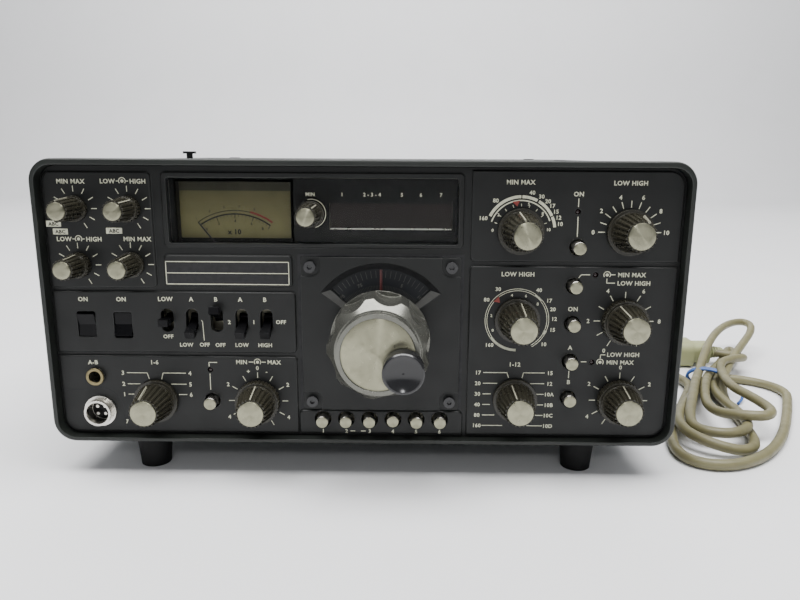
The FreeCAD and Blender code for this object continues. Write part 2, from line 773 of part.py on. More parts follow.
def tuning_panel():
    """Square plate round the tuning knob, with the arc-shaped window over the dial."""
    body = new_body("tuning_panel")
    place(body, "Sizes.tuning_x", "Sizes.tuning_z", "Sizes.panel_recess")
    half = "Sizes.tuning_panel_size / 2"
    outline = new_sketch(body, "tuning_outline")
    draw_rectangle(outline, f"-{half}", half, f"-{half}", half, 1.5)
    pad(body, "tuning_plate", outline, "Sizes.panel_step")
    holes = new_sketch(body, "tuning_holes")
    draw_circle(holes, 0, 0, "Sizes.shaft_hole")
    for level in (-1, 1):
        for way in (-1, 1):
            draw_circle(holes, f"{way} * Sizes.screw_x", f"{level} * Sizes.screw_z",
                        "Sizes.screw_shank + 0.1")
    pocket(body, "tuning_bores", holes, "Sizes.panel_step + 1")
    step = new_sketch(body, "dial_window_step")
    draw_arc_window(step, "Sizes.arc_step_outer", "Sizes.arc_step_half_angle")
    pocket(body, "dial_window_step_cut", step, "Sizes.arc_step")
    window = new_sketch(body, "dial_window")
    draw_arc_window(window, "Sizes.arc_outer", "Sizes.arc_half_angle")
    pocket(body, "dial_window_cut", window, "Sizes.panel_step + 1")
    for index, (side, level) in enumerate(((-1, -1), (1, -1), (-1, 1), (1, 1))):
        notch = new_sketch(body, f"screw_notch_{index}")
        edges = []
        for way, place_name in ((side, "screw_x"), (level, "screw_z")):
            inside = f"{way} * (Sizes.{place_name} - Sizes.screw_notch)"
            outside = f"{way} * ({half} + 6)"
            edges += [inside, outside] if way > 0 else [outside, inside]
        draw_rectangle(notch, *edges, 4.5)
        pocket(body, f"screw_notch_cut_{index}", notch, "Sizes.notch_depth")
    return body


def draw_arc_window(sketch, outer_radius, half_angle):
    """Outline of the dial window: two arcs about the knob's axis joined by radial lines."""
    outer = size(outer_radius)
    inner = size("Sizes.arc_inner")
    half = math.radians(size(half_angle))
    start, end = math.pi / 2 - half, math.pi / 2 + half
    up = Vector(0, 0, 1)
    arcs = []
    for radius in (outer, inner):
        arc = Part.ArcOfCircle(Part.Circle(Vector(), up, radius), start, end)
        arcs.append(sketch.addGeometry(arc, False))
        sketch.addConstraint(Sketcher.Constraint("Coincident", arcs[-1], 3, -1, 1))
    for angle, corner in ((start, 1), (end, 2)):
        way = Vector(math.cos(angle), math.sin(angle), 0)
        line = sketch.addGeometry(Part.LineSegment(way * inner, way * outer), False)
        sketch.addConstraint(Sketcher.Constraint("Coincident", line, 1, arcs[1], corner))
        sketch.addConstraint(Sketcher.Constraint("Coincident", line, 2, arcs[0], corner))
    constrain(sketch, "Radius", arcs[0], expression=outer_radius)
    constrain(sketch, "Radius", arcs[1], expression="Sizes.arc_inner")


def panel_sockets():
    """Headphone jack and the round four-pin microphone socket."""
    jack = new_body("phones_jack")
    place(jack, "Sizes.phones_x", "Sizes.phones_z")
    cylinder(jack, "jack_barrel", "Sizes.phones_nut - 0.6",
             "Sizes.phones_depth - Sizes.panel_recess + 1.2", z="-Sizes.phones_depth")
    cylinder(jack, "jack_nut", "Sizes.phones_nut", 1.2, z="-Sizes.panel_recess")
    cylinder(jack, "jack_bore", "Sizes.phones_bore", "Sizes.phones_depth",
             z="2 - Sizes.phones_depth", cut=True)
    socket = new_body("mic_socket")
    place(socket, "Sizes.mic_x", "Sizes.mic_z")
    cylinder(socket, "mic_barrel", "Sizes.mic_shell",
             "Sizes.bezel_depth - 0.5 - Sizes.panel_recess + Sizes.mic_proud",
             z="0.5 - Sizes.bezel_depth")
    cylinder(socket, "mic_flange_ring", "Sizes.mic_flange", 1.2, z="-Sizes.panel_recess")
    cylinder(socket, "mic_cup", "Sizes.mic_bore", "Sizes.mic_cup_depth + 1",
             z="Sizes.mic_proud - Sizes.panel_recess - Sizes.mic_cup_depth", cut=True)
    for index in range(4):
        angle = math.radians(45 + 90 * index)
        cylinder(socket, f"mic_pin_{index}", 0.9, 3, x=3.0 * math.cos(angle),
                 y=3.0 * math.sin(angle),
                 z="Sizes.mic_proud - Sizes.panel_recess - Sizes.mic_cup_depth - 0.5")
    return group("panel_sockets", [jack, socket])


def meter_housing():
    """Meter case, open towards the glass, with its scale plate and pivot."""
    body = new_body("meter_housing")
    place(body)
    box(body, "meter_case", "Sizes.meter_left", "Sizes.meter_right", "Sizes.meter_base",
        "Sizes.meter_top", "-Sizes.bezel_depth", f"-{PANEL_BACK}")
    wall = "Sizes.meter_wall"
    box(body, "meter_cavity", f"Sizes.meter_left + {wall}", f"Sizes.meter_right - {wall}",
        f"Sizes.meter_base + {wall}", f"Sizes.meter_top - {wall}", "-Sizes.meter_face_depth",
        0, cut=True)
    return body


# ---------------------------------------------------------------- turning controls

def knob_ring(name, control, style):
    """Ring behind a knob, on a hollow shaft that the knob's own shaft passes through."""
    body = new_body(name)
    place(body, f"Sizes.{control}_x", f"Sizes.{control}_z", "Sizes.panel_recess")
    cylinder(body, name + "_disc", f"Sizes.{style}_skirt",
             f"Sizes.{style}_ring_thickness", z="Sizes.knob_lift")
    notch = new_sketch(body, name + "_notch", "Sizes.knob_lift", x=f"Sizes.{style}_skirt")
    draw_circle(notch, 0, 0, 0.45)
    flute = pad_cut(body, name + "_flute", notch, f"Sizes.{style}_ring_thickness")
    repeat_round(body, name + "_flutes", flute, 36 if style == "large" else 24)
    cylinder(body, name + "_sleeve", "Sizes.sleeve_radius",
             "Sizes.sleeve_depth - Sizes.panel_recess + Sizes.knob_lift + 0.5",
             z="Sizes.panel_recess - Sizes.sleeve_depth")
    cylinder(body, name + "_bore", "Sizes.sleeve_bore", 40, z=-20, cut=True)
    return body


def pad_cut(body, name, sketch, length):
    """Cut a sketch forwards through the body."""
    feature = pocket(body, name, sketch, length)
    feature.Reversed = True
    return feature


def rotary_knob(control, style, has_ring):
    """Fluted knob: skirt, tapered barrel with grooves, metal cap and shaft."""
    name = control + "_knob"
    body = new_body(name)
    place(body, f"Sizes.{control}_x", f"Sizes.{control}_z", "Sizes.panel_recess")
    top = f"(Sizes.{control}_cap + Sizes.panel_recess)"
    start = "Sizes.knob_lift"
    if has_ring:
        start = f"(Sizes.knob_lift + Sizes.{style}_ring_thickness + Sizes.ring_gap)"
    skirt = f"Sizes.{style}_skirt_thickness"
    if has_ring:
        skirt_radius = f"(Sizes.{style}_rear + 0.3)"
        skirt = "0.8"
    else:
        skirt_radius = f"Sizes.{style}_skirt"
    cylinder(body, name + "_skirt", skirt_radius, skirt, z=start)
    barrel_start = f"({start} + {skirt})"
    barrel_end = f"({top} - Sizes.cap_thickness)"
    cone(body, name + "_barrel", f"Sizes.{style}_rear", f"Sizes.{style}_front",
         f"{barrel_end} - {barrel_start}", z=barrel_start)
    length = size(f"{barrel_end} - {barrel_start}")
    slope = size(f"Sizes.{style}_rear - Sizes.{style}_front") / length
    lean = FreeCAD.Rotation(Vector(0, 1, 0), -math.degrees(math.atan(slope)))
    lead_in = 1.0
    notch = new_sketch(body, name + "_notch", f"{barrel_end} + {lead_in}",
                       x=f"Sizes.{style}_front - {slope * lead_in}", rotation=lean)
    draw_circle(notch, 0, 0, f"Sizes.{style}_flute")
    flute = pocket(body, name + "_flute", notch, length * 0.93 + lead_in)
    repeat_round(body, name + "_flutes", flute, FLUTES[style])
    cylinder(body, name + "_cap", f"Sizes.{style}_cap", "Sizes.cap_thickness + 0.2",
             z=f"{barrel_end} - 0.2")
    cylinder(body, name + "_shaft", "Sizes.shaft_radius",
             "Sizes.shaft_depth - Sizes.panel_recess + 3", z="Sizes.panel_recess - Sizes.shaft_depth")
    return body


def tuning_knob():
    """Large knob: knurled rear ring, scalloped skirt, smooth rim and a dished metal disc."""
    body = new_body("tuning_knob")
    place(body, "Sizes.tuning_x", "Sizes.tuning_z", "Sizes.panel_recess")
    cylinder(body, "tuning_rear_ring", "Sizes.tuning_ring", "Sizes.tuning_ring_end - 1", z=1)
    knurl = new_sketch(body, "tuning_knurl", 1, x="Sizes.tuning_ring")
    draw_circle(knurl, 0, 0, 0.5)
    groove = pad_cut(body, "tuning_knurl_cut", knurl, "Sizes.tuning_ring_end - 1.4")
    repeat_round(body, "tuning_knurling", groove, 72)
    cylinder(body, "tuning_grip_skirt", "Sizes.tuning_skirt",
             "Sizes.tuning_skirt_end - Sizes.tuning_ring_end", z="Sizes.tuning_ring_end")
    cone(body, "tuning_shoulder", "Sizes.tuning_skirt", "Sizes.tuning_neck",
         "Sizes.tuning_neck_end - Sizes.tuning_skirt_end", z="Sizes.tuning_skirt_end")
    scallop = new_sketch(body, "tuning_scallop", "Sizes.tuning_ring_end + 1.2",
                         x="Sizes.scallop_centre")
    draw_circle(scallop, 0, 0, "Sizes.scallop_radius")
    dip = pad_cut(body, "tuning_scallop_cut", scallop, "Sizes.tuning_neck_end")
    repeat_round(body, "tuning_scallops", dip, SCALLOPS)
    cylinder(body, "tuning_rim_ring", "Sizes.tuning_rim",
             "Sizes.tuning_rim_end - Sizes.tuning_neck_end", z="Sizes.tuning_neck_end")
    cylinder(body, "tuning_disc_seat", "Sizes.tuning_disc", 5,
             z="Sizes.tuning_rim_end - Sizes.tuning_disc_recess", cut=True)
    cylinder(body, "tuning_grip_bore", "Sizes.grip_pin + 0.05", 8, x="Sizes.grip_x",
             y="Sizes.grip_z", z="Sizes.tuning_rim_end - 6", cut=True)
    cylinder(body, "tuning_shaft", "Sizes.shaft_radius",
             "Sizes.shaft_depth - Sizes.panel_recess + 3",
             z="Sizes.panel_recess - Sizes.shaft_depth")
    return body


def tuning_crank():
    """Finger grip that spins on a pin in the tuning knob: foot, round body and dished face."""
    body = new_body("tuning_crank")
    place(body, "Sizes.tuning_x + Sizes.grip_x", "Sizes.tuning_z + Sizes.grip_z",
          "Sizes.panel_recess")
    rim = "Sizes.tuning_rim_end"
    tip = "(Sizes.front_reach + Sizes.panel_recess)"
    cylinder(body, "grip_pin_post", "Sizes.grip_pin", 8, z=f"{rim} - 5.5")
    cylinder(body, "grip_foot", "Sizes.grip_collar", 1.0, z=f"{rim} + 0.4")
    cone(body, "grip_flare", "Sizes.grip_collar", "Sizes.grip_radius", 1.2, z=f"{rim} + 1.4")
    cylinder(body, "grip_band", "Sizes.grip_radius", f"{tip} - {rim} - 3.4", z=f"{rim} + 2.6")
    cone(body, "grip_edge", "Sizes.grip_radius", "Sizes.grip_radius - 0.7", 0.8,
         z=f"{tip} - 0.8")
    dish = body.newObject("PartDesign::SubtractiveSphere", "grip_dish")
    attach(dish, body, 0, 0, f"{tip} + Sizes.grip_dish - Sizes.grip_dish_depth")
    dish.setExpression("Radius", "Sizes.grip_dish")
    body.Tip = dish
    return body


def tuning_dial():
    """Printed disc that turns behind the arc window, with its hub round the knob's shaft."""
    body = new_body("tuning_dial")
    place(body, "Sizes.tuning_x", "Sizes.tuning_z", "Sizes.dial_depth")
    cylinder(body, "dial_disc", "Sizes.dial_radius", "Sizes.dial_thickness")
    cylinder(body, "dial_hub", "Sizes.dial_hub_radius", "Sizes.dial_hub_length + 0.5",
             z="-Sizes.dial_hub_length")
    cylinder(body, "dial_bore", "Sizes.sleeve_bore", 40, z=-20, cut=True)
    return body


def meter_needle():
    """Pointer of the meter, on its pivot below the visible part of the scale."""
    body = new_body("meter_needle")
    tilt = FreeCAD.Rotation(Vector(1, 0, 0), 90).multiply(
        FreeCAD.Rotation(Vector(0, 0, 1), size("Sizes.needle_tilt")))
    place(body, "Sizes.needle_x", "Sizes.needle_z", "Sizes.needle_depth", rotation=tilt)
    cylinder(body, "needle_hub", 2.2, 1.2, z=-0.6)
    box(body, "needle_blade", "-Sizes.needle_width / 2", "Sizes.needle_width / 2", 0,
        "Sizes.needle_length", -0.25, 0.25)
    return body


def fan_rotor():
    """Cooling fan behind the output stage: a hub with pitched blades."""
    body = new_body("fan_rotor")
    place(body, "Sizes.fan_x", "Sizes.fan_z", "Sizes.fan_depth")
    cylinder(body, "fan_hub_cup", "Sizes.fan_hub", "Sizes.fan_thickness")
    blade = body.newObject("PartDesign::AdditiveBox", "fan_blade")
    pitch = FreeCAD.Rotation(Vector(1, 0, 0), 35)
    attach(blade, body, "Sizes.fan_hub - 2", "-5.5", 2.2, rotation=pitch)
    blade.setExpression("Length", "Sizes.fan_radius - Sizes.fan_hub + 1")
    blade.Width = 12
    blade.Height = 1.6
    body.Tip = blade
    repeat_round(body, "fan_blades", blade, 5)
    return body


# ---------------------------------------------------------------- pressed and thrown controls

def push_button(name, x, height, radius, proud):
    """Turned metal button: a rod through the panel with a bevelled face."""
    body = new_body(name)
    place(body, x, height)
    rod = cylinder(body, name + "_rod", radius,
                   f"Sizes.button_rear + {proud} - Sizes.panel_recess", z="-Sizes.button_rear")
    doc.recompute()
    front = max(range(len(rod.Shape.Faces)), key=lambda k: rod.Shape.Faces[k].CenterOfMass.z)
    bevel = body.newObject("PartDesign::Chamfer", name + "_bevel")
    bevel.Base = (rod, [f"Face{front + 1}"])
    bevel.Size = 0.45
    body.Tip = bevel
    return body


def rocker(name, x, height, way):
    """Rocker with a valley across its middle; it tips on a pin behind the panel."""
    body = new_body(name)
    tilt = FreeCAD.Rotation(Vector(1, 0, 0), 90 + way * size("Sizes.rocker_tilt"))
    place(body, x, height, "Sizes.rocker_pivot", rotation=tilt)
    profile = new_sketch(body, name + "_profile", "-Sizes.rocker_half_width", role="YZ_Plane")
    half = "Sizes.rocker_half_height"
    draw_polygon(profile, (
        (f"-{half}", "Sizes.rocker_back"), ("0", "Sizes.rocker_keel"),
        (half, "Sizes.rocker_back"), (half, "Sizes.rocker_tip"),
        ("0", "Sizes.rocker_valley"), (f"-{half}", "Sizes.rocker_tip")))
    pad(body, name + "_paddle", profile, "2 * Sizes.rocker_half_width", backwards=False)
    return body


def lever(index, x, height, way):
    """Bat of a lever switch: hub, flat stem and a square tip."""
    name = f"lever_{index + 1}"
    body = new_body(name)
    tilt = FreeCAD.Rotation(Vector(1, 0, 0), 90 - way * size("Sizes.lever_tilt"))
    place(body, x, height, "Sizes.lever_pivot", rotation=tilt)
    cylinder(body, name + "_hub", "Sizes.lever_hub", "Sizes.lever_width + 1",
             z="-Sizes.lever_width / 2 - 0.5", role="YZ_Plane")
    wide, thick = "Sizes.lever_width / 2", "Sizes.lever_thickness / 2"
    box(body, name + "_stem", f"-{wide}", wide, f"-{thick}", thick, 0,
        "Sizes.lever_tip_start + 0.5")
    wide, thick = "Sizes.lever_tip_width / 2", "Sizes.lever_tip_height / 2"
    box(body, name + "_tip", f"-{wide}", wide, f"-{thick}", thick, "Sizes.lever_tip_start",
        "Sizes.lever_length")
    return body


# ---------------------------------------------------------------- chassis and inside

def chassis():
    """Sheet-metal frame: front sub-plate, side rails, deck and rear apron with fan grille."""
    body = new_body("chassis")
    place(body)
    plate = new_sketch(body, "sub_plate_outline", "-Sizes.bezel_depth")
    draw_rectangle(plate, "-Sizes.apron_half_width", "Sizes.apron_half_width", 3.5, 150, 7)
    pad(body, "sub_plate", plate, "Sizes.sheet")
    edge = "(Sizes.case_width / 2 - Sizes.cover_inset - Sizes.cover_wall)"
    for side in ("left", "right"):
        inner = f"({edge} - Sizes.sheet)"
        low, high = (f"-{edge}", f"-{inner}") if side == "left" else (inner, edge)
        box(body, f"{side}_rail", low, high, "Sizes.rail_base", "Sizes.rail_top",
            "-Sizes.rear_apron - 2", "-Sizes.bezel_depth")
    box(body, "deck", f"0.3 - {edge}", f"{edge} - 0.3", "Sizes.deck_height",
        "Sizes.deck_height + Sizes.sheet", "-Sizes.rear_apron - 1", "-Sizes.deck_start")
    box(body, "lever_strip", -112, -45, 61.5, 75.5, "-Sizes.bezel_depth - 0.5",
        "-Sizes.bezel_depth + 1.2")
    apron = new_sketch(body, "rear_apron_outline", "-Sizes.rear_apron")
    draw_rectangle(apron, f"0.2 - {edge}", f"{edge} - 0.2",
                   "Sizes.cover_inset + Sizes.cover_wall + 0.2",
                   "Sizes.case_height - Sizes.cover_inset - Sizes.cover_wall - 0.2", 9.6)
    pad(body, "rear_apron_plate", apron, 2)
    holes = new_sketch(body, "sub_plate_holes", "1 - Sizes.bezel_depth")
    for name in ROTARY:
        draw_circle(holes, f"Sizes.{name}_x", f"Sizes.{name}_z", "Sizes.shaft_hole")
    draw_circle(holes, "Sizes.tuning_x", "Sizes.tuning_z", "Sizes.shaft_hole")
    draw_circle(holes, "Sizes.phones_x", "Sizes.phones_z", "Sizes.phones_nut + 0.4")
    pocket(body, "sub_plate_bores", holes, 4)
    grille = new_sketch(body, "fan_grille", "1 - Sizes.rear_apron")
    for radius in (15.0, 20.0, 25.0, 30.0):
        draw_ring_slots(grille, "Sizes.fan_x", "Sizes.fan_z", radius, radius + 3.2)
    pocket(body, "fan_grille_slots", grille, 4)
    return body


def draw_ring_slots(sketch, x, y, inner, outer):
    """Four curved slots between two radii about a centre, with ribs left between them."""
    centre = Vector(size(x), size(y), 0)
    up = Vector(0, 0, 1)
    rib = 2.2
    for quarter in range(4):
        middle = math.radians(45 + 90 * quarter)
        ends = []
        for radius in (outer, inner):
            half = math.radians(45) - rib / radius
            arc = Part.ArcOfCircle(Part.Circle(centre, up, radius), middle - half, middle + half)
            ends.append((sketch.addGeometry(arc, False), middle - half, middle + half, radius))
        for end in (1, 2):
            points = [centre + Vector(math.cos(item[end]), math.sin(item[end]), 0) * item[3]
                      for item in ends]
            line = sketch.addGeometry(Part.LineSegment(*points), False)
            sketch.addConstraint(Sketcher.Constraint("Coincident", line, 1, ends[0][0], end))
            sketch.addConstraint(Sketcher.Constraint("Coincident", line, 2, ends[1][0], end))


def amplifier_cage():
    """Screening box of the output stage with the fan's frame at its rear, and two valves."""
    cage = new_body("output_cage")
    place(cage, "Sizes.fan_x", "Sizes.fan_z", "Sizes.rear_apron")
    half = "Sizes.cage_half"
    length = "Sizes.cage_length"
    box(cage, "cage_block", f"-{half}", half, f"-{half}", half, 0, length)
    box(cage, "cage_hollow", f"1.2 - {half}", f"{half} - 1.2", f"1.2 - {half}",
        f"{half} - 1.2", 18, f"{length} - 1.2", cut=True)
    cylinder(cage, "fan_tunnel", "Sizes.fan_radius + 1.5", 20, z=-1, cut=True)
    box(cage, "motor_bar", f"-{half}", half, -3, 3, 17.5, 20)
    cylinder(cage, "motor_plate", 11, 3, z=17)
    valves = []
    for index, x in enumerate((-18, 18)):
        valve = new_body(f"output_valve_{index}")
        place(valve, f"Sizes.fan_x + {x}", f"Sizes.fan_z - {half} + 1.2", 225,
              rotation=FreeCAD.Rotation())
        cylinder(valve, f"valve_base_{index}", 15, 12)
        cylinder(valve, f"valve_glass_{index}", 13, 46, z=11)
        cone(valve, f"valve_top_{index}", 13, 6, 7, z=57)
        valves.append(valve)
    return group("amplifier_cage", [cage] + valves)


def power_transformer():
    """Mains transformer: laminated core, coil through its window and mounting feet."""
    body = new_body("power_transformer")
    place(body, -95, "Sizes.deck_height + Sizes.sheet", 255)
    box(body, "core", -42, 42, 3, 73, 12, 52)
    box(body, "coil", -27, 27, 13, 63, 0, 64)
    box(body, "mounting_foot", -50, 50, 0, 3, 6, 58)
    return body


def circuit_boards():
    """Boards on pillars above and below the deck, and the bodies of the rotary controls."""
    pieces = []
    lower = new_body("lower_board")
    place(lower, 0, 20)
    box(lower, "lower_board_plate", -150, 150, 0, 1.6, -262, -60)
    post = cylinder_up(lower, "lower_pillar", 3, "Sizes.deck_height - 20 - 0.8", -140, 0.8, -100)
    repeat_along(lower, "lower_pillars", post, 280, 3)
    rear_post = cylinder_up(lower, "lower_rear_pillar", 3, "Sizes.deck_height - 20 - 0.8",
                            -140, 0.8, -240)
    repeat_along(lower, "lower_rear_pillars", rear_post, 280, 3)
    can = box(lower, "lower_can", -120, -108, 1.4, 14, -150, -138)
    repeat_along(lower, "lower_cans", can, 220, 8)
    pieces.append(lower)
    upper = new_body("upper_board")
    place(upper, 0, "Sizes.deck_height + Sizes.sheet")
    box(upper, "upper_board_plate", -150, 48, 18, 19.6, -175, -62)
    post = cylinder_up(upper, "upper_pillar", 3, 18.4, -140, 0, -80)
    repeat_along(upper, "upper_pillars", post, 178, 3)
    rear_post = cylinder_up(upper, "upper_rear_pillar", 3, 18.4, -140, 0, -165)
    repeat_along(upper, "upper_rear_pillars", rear_post, 178, 3)
    can = box(upper, "upper_can", -120, -108, 19, 34, -140, -128)
    repeat_along(upper, "upper_cans", can, 140, 6)
    pieces.append(upper)
    back = "Sizes.bezel_depth + Sizes.sheet"
    controls = [(name, style) for name, (_, _, _, style, _) in ROTARY.items()]
    for name, style in controls + [("tuning", "large")]:
        control = new_body(name + "_control")
        place(control, f"Sizes.{name}_x", f"Sizes.{name}_z", back)
        cylinder(control, name + "_case", f"Sizes.control_{style}", "Sizes.control_length",
                 z="-Sizes.control_length")
        cylinder(control, name + "_bearing", "Sizes.sleeve_bore", 40, z=-20, cut=True)
        pieces.append(control)
    return group("circuit_boards", pieces)


def cylinder_up(body, name, radius, length, x, y, z):
    """A pillar that stands upright in a face-on piece."""
    feature = body.newObject("PartDesign::AdditiveCylinder", name)
    attach(feature, body, x, y, z, rotation=FreeCAD.Rotation(Vector(1, 0, 0), -90))
    feature.setExpression("Radius", str(radius))
    feature.setExpression("Height", str(length))
    body.Tip = feature
    return feature


# ---------------------------------------------------------------- rear sockets

def rear_body(name, x, height):
    """A piece on the rear apron, drawn as seen from behind: its own Z points backwards."""
    body = new_body(name)
    backwards = FreeCAD.Rotation(Vector(1, 0, 0), -90)
    place(body, x, height, "Sizes.rear_apron + 2", rotation=backwards)
    return body


def rear_sockets():
    pieces = []
    aerial = rear_body("aerial_socket", "Sizes.aerial_x", "Sizes.aerial_z")
    box(aerial, "aerial_flange", -12.7, 12.7, -12.7, 12.7, 0, 1.6)
    cylinder(aerial, "aerial_barrel", "Sizes.aerial_radius", "Sizes.aerial_length + 1.6")
    cylinder(aerial, "aerial_bore", 4.5, 9, z="Sizes.aerial_length + 1.6 - 8", cut=True)
    cylinder(aerial, "aerial_contact", 2.2, 9, z="Sizes.aerial_length + 1.6 - 9")
    pieces.append(aerial)
    for index in range(10):
        phono = rear_body(f"phono_{index}", -112 + 20 * (index % 5), 118 - 20 * (index // 5))
        cylinder(phono, f"phono_base_{index}", 6, 1.2)
        cylinder(phono, f"phono_barrel_{index}", 4.2, 9)
        cylinder(phono, f"phono_bore_{index}", 1.7, 9, z=2, cut=True)
        pieces.append(phono)
    for index in range(2):
        accessory = rear_body(f"accessory_{index}", -145, 116 - 34 * index)
        cylinder(accessory, f"accessory_rim_{index}", 12, 4)
        cylinder(accessory, f"accessory_well_{index}", 9.5, 4, z=1.5, cut=True)
        cylinder(accessory, f"accessory_key_{index}", 3.4, 2.6, z=1)
        pieces.append(accessory)
    for index, x in enumerate((-112, -92)):
        jack = rear_body(f"rear_jack_{index}", x, 70)
        cylinder(jack, f"rear_jack_nut_{index}", 6, 3)
        cylinder(jack, f"rear_jack_bore_{index}", 3.25, 4, z=1, cut=True)
        pieces.append(jack)
    earth = rear_body("earth_post", "Sizes.aerial_x", 70)
    cylinder(earth, "earth_stud", 2.5, 15)
    cylinder(earth, "earth_nut", 6, 4, z=2)
    box(earth, "earth_wings", -11, 11, -1.5, 1.5, 3, 8)
    pieces.append(earth)
    fuse = rear_body("fuse_holder", 85, "Sizes.mains_z")
    cylinder(fuse, "fuse_flange", 8.5, 2)
    cylinder(fuse, "fuse_cap", 7, 12)
    pieces.append(fuse)
    mains = rear_body("mains_entry", "Sizes.mains_x", "Sizes.mains_z")
    face = "(Sizes.relief_start - Sizes.rear_apron - 2)"
    box(mains, "mains_block", -17, 17, -11, 11, 0, face)
    cone(mains, "mains_relief", "Sizes.relief_base", "Sizes.relief_tip",
         "Sizes.rear_reach - Sizes.relief_start", z=face)
    pieces.append(mains)
    return group("rear_sockets", pieces)


# ---------------------------------------------------------------- mains lead

def lead_path(points):
    """Straight runs joined by tangent arcs, each as large as its two runs allow."""
    edges = []
    previous = points[0]
    for before, corner, after in zip(points, points[1:], points[2:]):
        into = (corner - before).normalize()
        out = (after - corner).normalize()
        half_turn = into.getAngle(out) / 2
        reach = 0.45 * min((corner - before).Length, (after - corner).Length)
        radius = reach / math.tan(half_turn)
        print(f"cord arc at {corner.x:.0f}, {corner.y:.0f}: radius {radius:.1f}, "
              f"turn {math.degrees(2 * half_turn):.0f} degrees")
        start = corner - into * reach
        end = corner + out * reach
        inwards = (out - into).normalize()
        middle = corner + inwards * (radius / math.cos(half_turn) - radius)
        edges.append(Part.LineSegment(previous, start).toShape())
        edges.append(Part.Arc(start, middle, end).toShape())
        previous = end
    edges.append(Part.LineSegment(previous, points[-1]).toShape())
    return Part.Wire(edges)


def cord_lead():
    """Round mains lead from its entry at the rear to the tied loops beside the cabinet."""
    points = [Vector(*point) for point in LEAD_ROUTE]
    path = lead_path(points)
    radius = size("Sizes.cord_radius")
    section = Part.Wire(Part.Circle(points[0], points[1] - points[0], radius).toShape())
    tube = path.makePipeShell([section], True, False)
    expected = math.pi * radius ** 2 * path.Length
    print(f"cord lead: length {path.Length:.0f}, volume {tube.Volume:.0f} of {expected:.0f}")
    if abs(tube.Volume - expected) > 0.01 * expected:
        raise ValueError("the cord's tube has the wrong volume")
    item = doc.addObject("Part::Feature", "cord_lead")
    item.Label = "cord_lead"
    item.Shape = tube
    return item


def loop_block(name):
    """Upright block with an elliptical outline that holds a set of the lead's loops."""
    outline = doc.addObject("Part::Ellipse", name + "_outline")
    outline.setExpression("MajorRadius", f"Sizes.{name}_major")
    outline.setExpression("MinorRadius", f"Sizes.{name}_minor")
    outline.Placement.Rotation = FreeCAD.Rotation(Vector(0, 0, 1), size(f"Sizes.{name}_angle"))
    outline.setExpression("Placement.Base.x", f"Sizes.{name}_x")
    outline.setExpression("Placement.Base.y", f"Sizes.{name}_y")
    block = doc.addObject("Part::Extrusion", name)
    block.Base = outline
    block.Dir = Vector(0, 0, 1)
    block.setExpression("LengthFwd", f"Sizes.{name}_height")
    block.Solid = True
    return block


def cord_hank():
    """Tied loops of the lead as one closed solid, with room left for the plug."""
    loops = doc.addObject("Part::MultiFuse", "loops")
    loops.Shapes = [loop_block("front_loops"), loop_block("rear_loops")]
    room = doc.addObject("Part::Box", "plug_room")
    room.setExpression("Length", "Sizes.plug_length + Sizes.plug_pin_length + 20")
    room.setExpression("Width", "Sizes.plug_width + 1")
    room.Height = 60
    room.setExpression("Placement.Base.x",
                       "Sizes.plug_x - Sizes.plug_length - Sizes.plug_pin_length - 20")
    room.setExpression("Placement.Base.y", "Sizes.plug_y - Sizes.plug_width / 2 - 0.5")
    room.Placement.Base.z = -1
    hank = doc.addObject("Part::Cut", "cord_hank")
    hank.Label = "cord_hank"
    hank.Base = loops
    hank.Tool = room
    return hank


def mains_plug():
    """Moulded three-pin plug lying on its side, its cord end against the loops."""
    body = new_body("mains_plug")
    lying = FreeCAD.Rotation(Vector(0, -1, 0), Vector(0, 0, 1), Vector(-1, 0, 0), "ZYX")
    body.Placement = FreeCAD.Placement(Vector(), lying)
    body.setExpression("Placement.Base.x", "Sizes.plug_x")
    body.setExpression("Placement.Base.y", "Sizes.plug_y")
    body.setExpression("Placement.Base.z", "Sizes.plug_height / 2")
    wide, high = "Sizes.plug_width / 2", "Sizes.plug_height / 2"
    neck = new_sketch(body, "plug_neck_outline")
    draw_rectangle(neck, f"4 - {wide}", f"{wide} - 4", f"2 - {high}", f"{high} - 2", 7)
    pad(body, "plug_neck", neck, "Sizes.plug_length * 0.45", backwards=False)
    head = new_sketch(body, "plug_head_outline", "Sizes.plug_length * 0.4")
    draw_rectangle(head, f"-{wide}", wide, f"-{high}", high, 8)
    pad(body, "plug_head", head, "Sizes.plug_length * 0.6", backwards=False)
    for x in (-6.35, 6.35):
        box(body, f"plug_blade_{'left' if x < 0 else 'right'}", x - 0.75, x + 0.75, -1.2, 5.2,
            "Sizes.plug_length - 1", "Sizes.plug_length + Sizes.plug_pin_length")
    cylinder(body, "plug_earth_pin", 2.4, "Sizes.plug_pin_length + 1", y=-6,
             z="Sizes.plug_length - 1")
    return body


# ---------------------------------------------------------------- the whole set

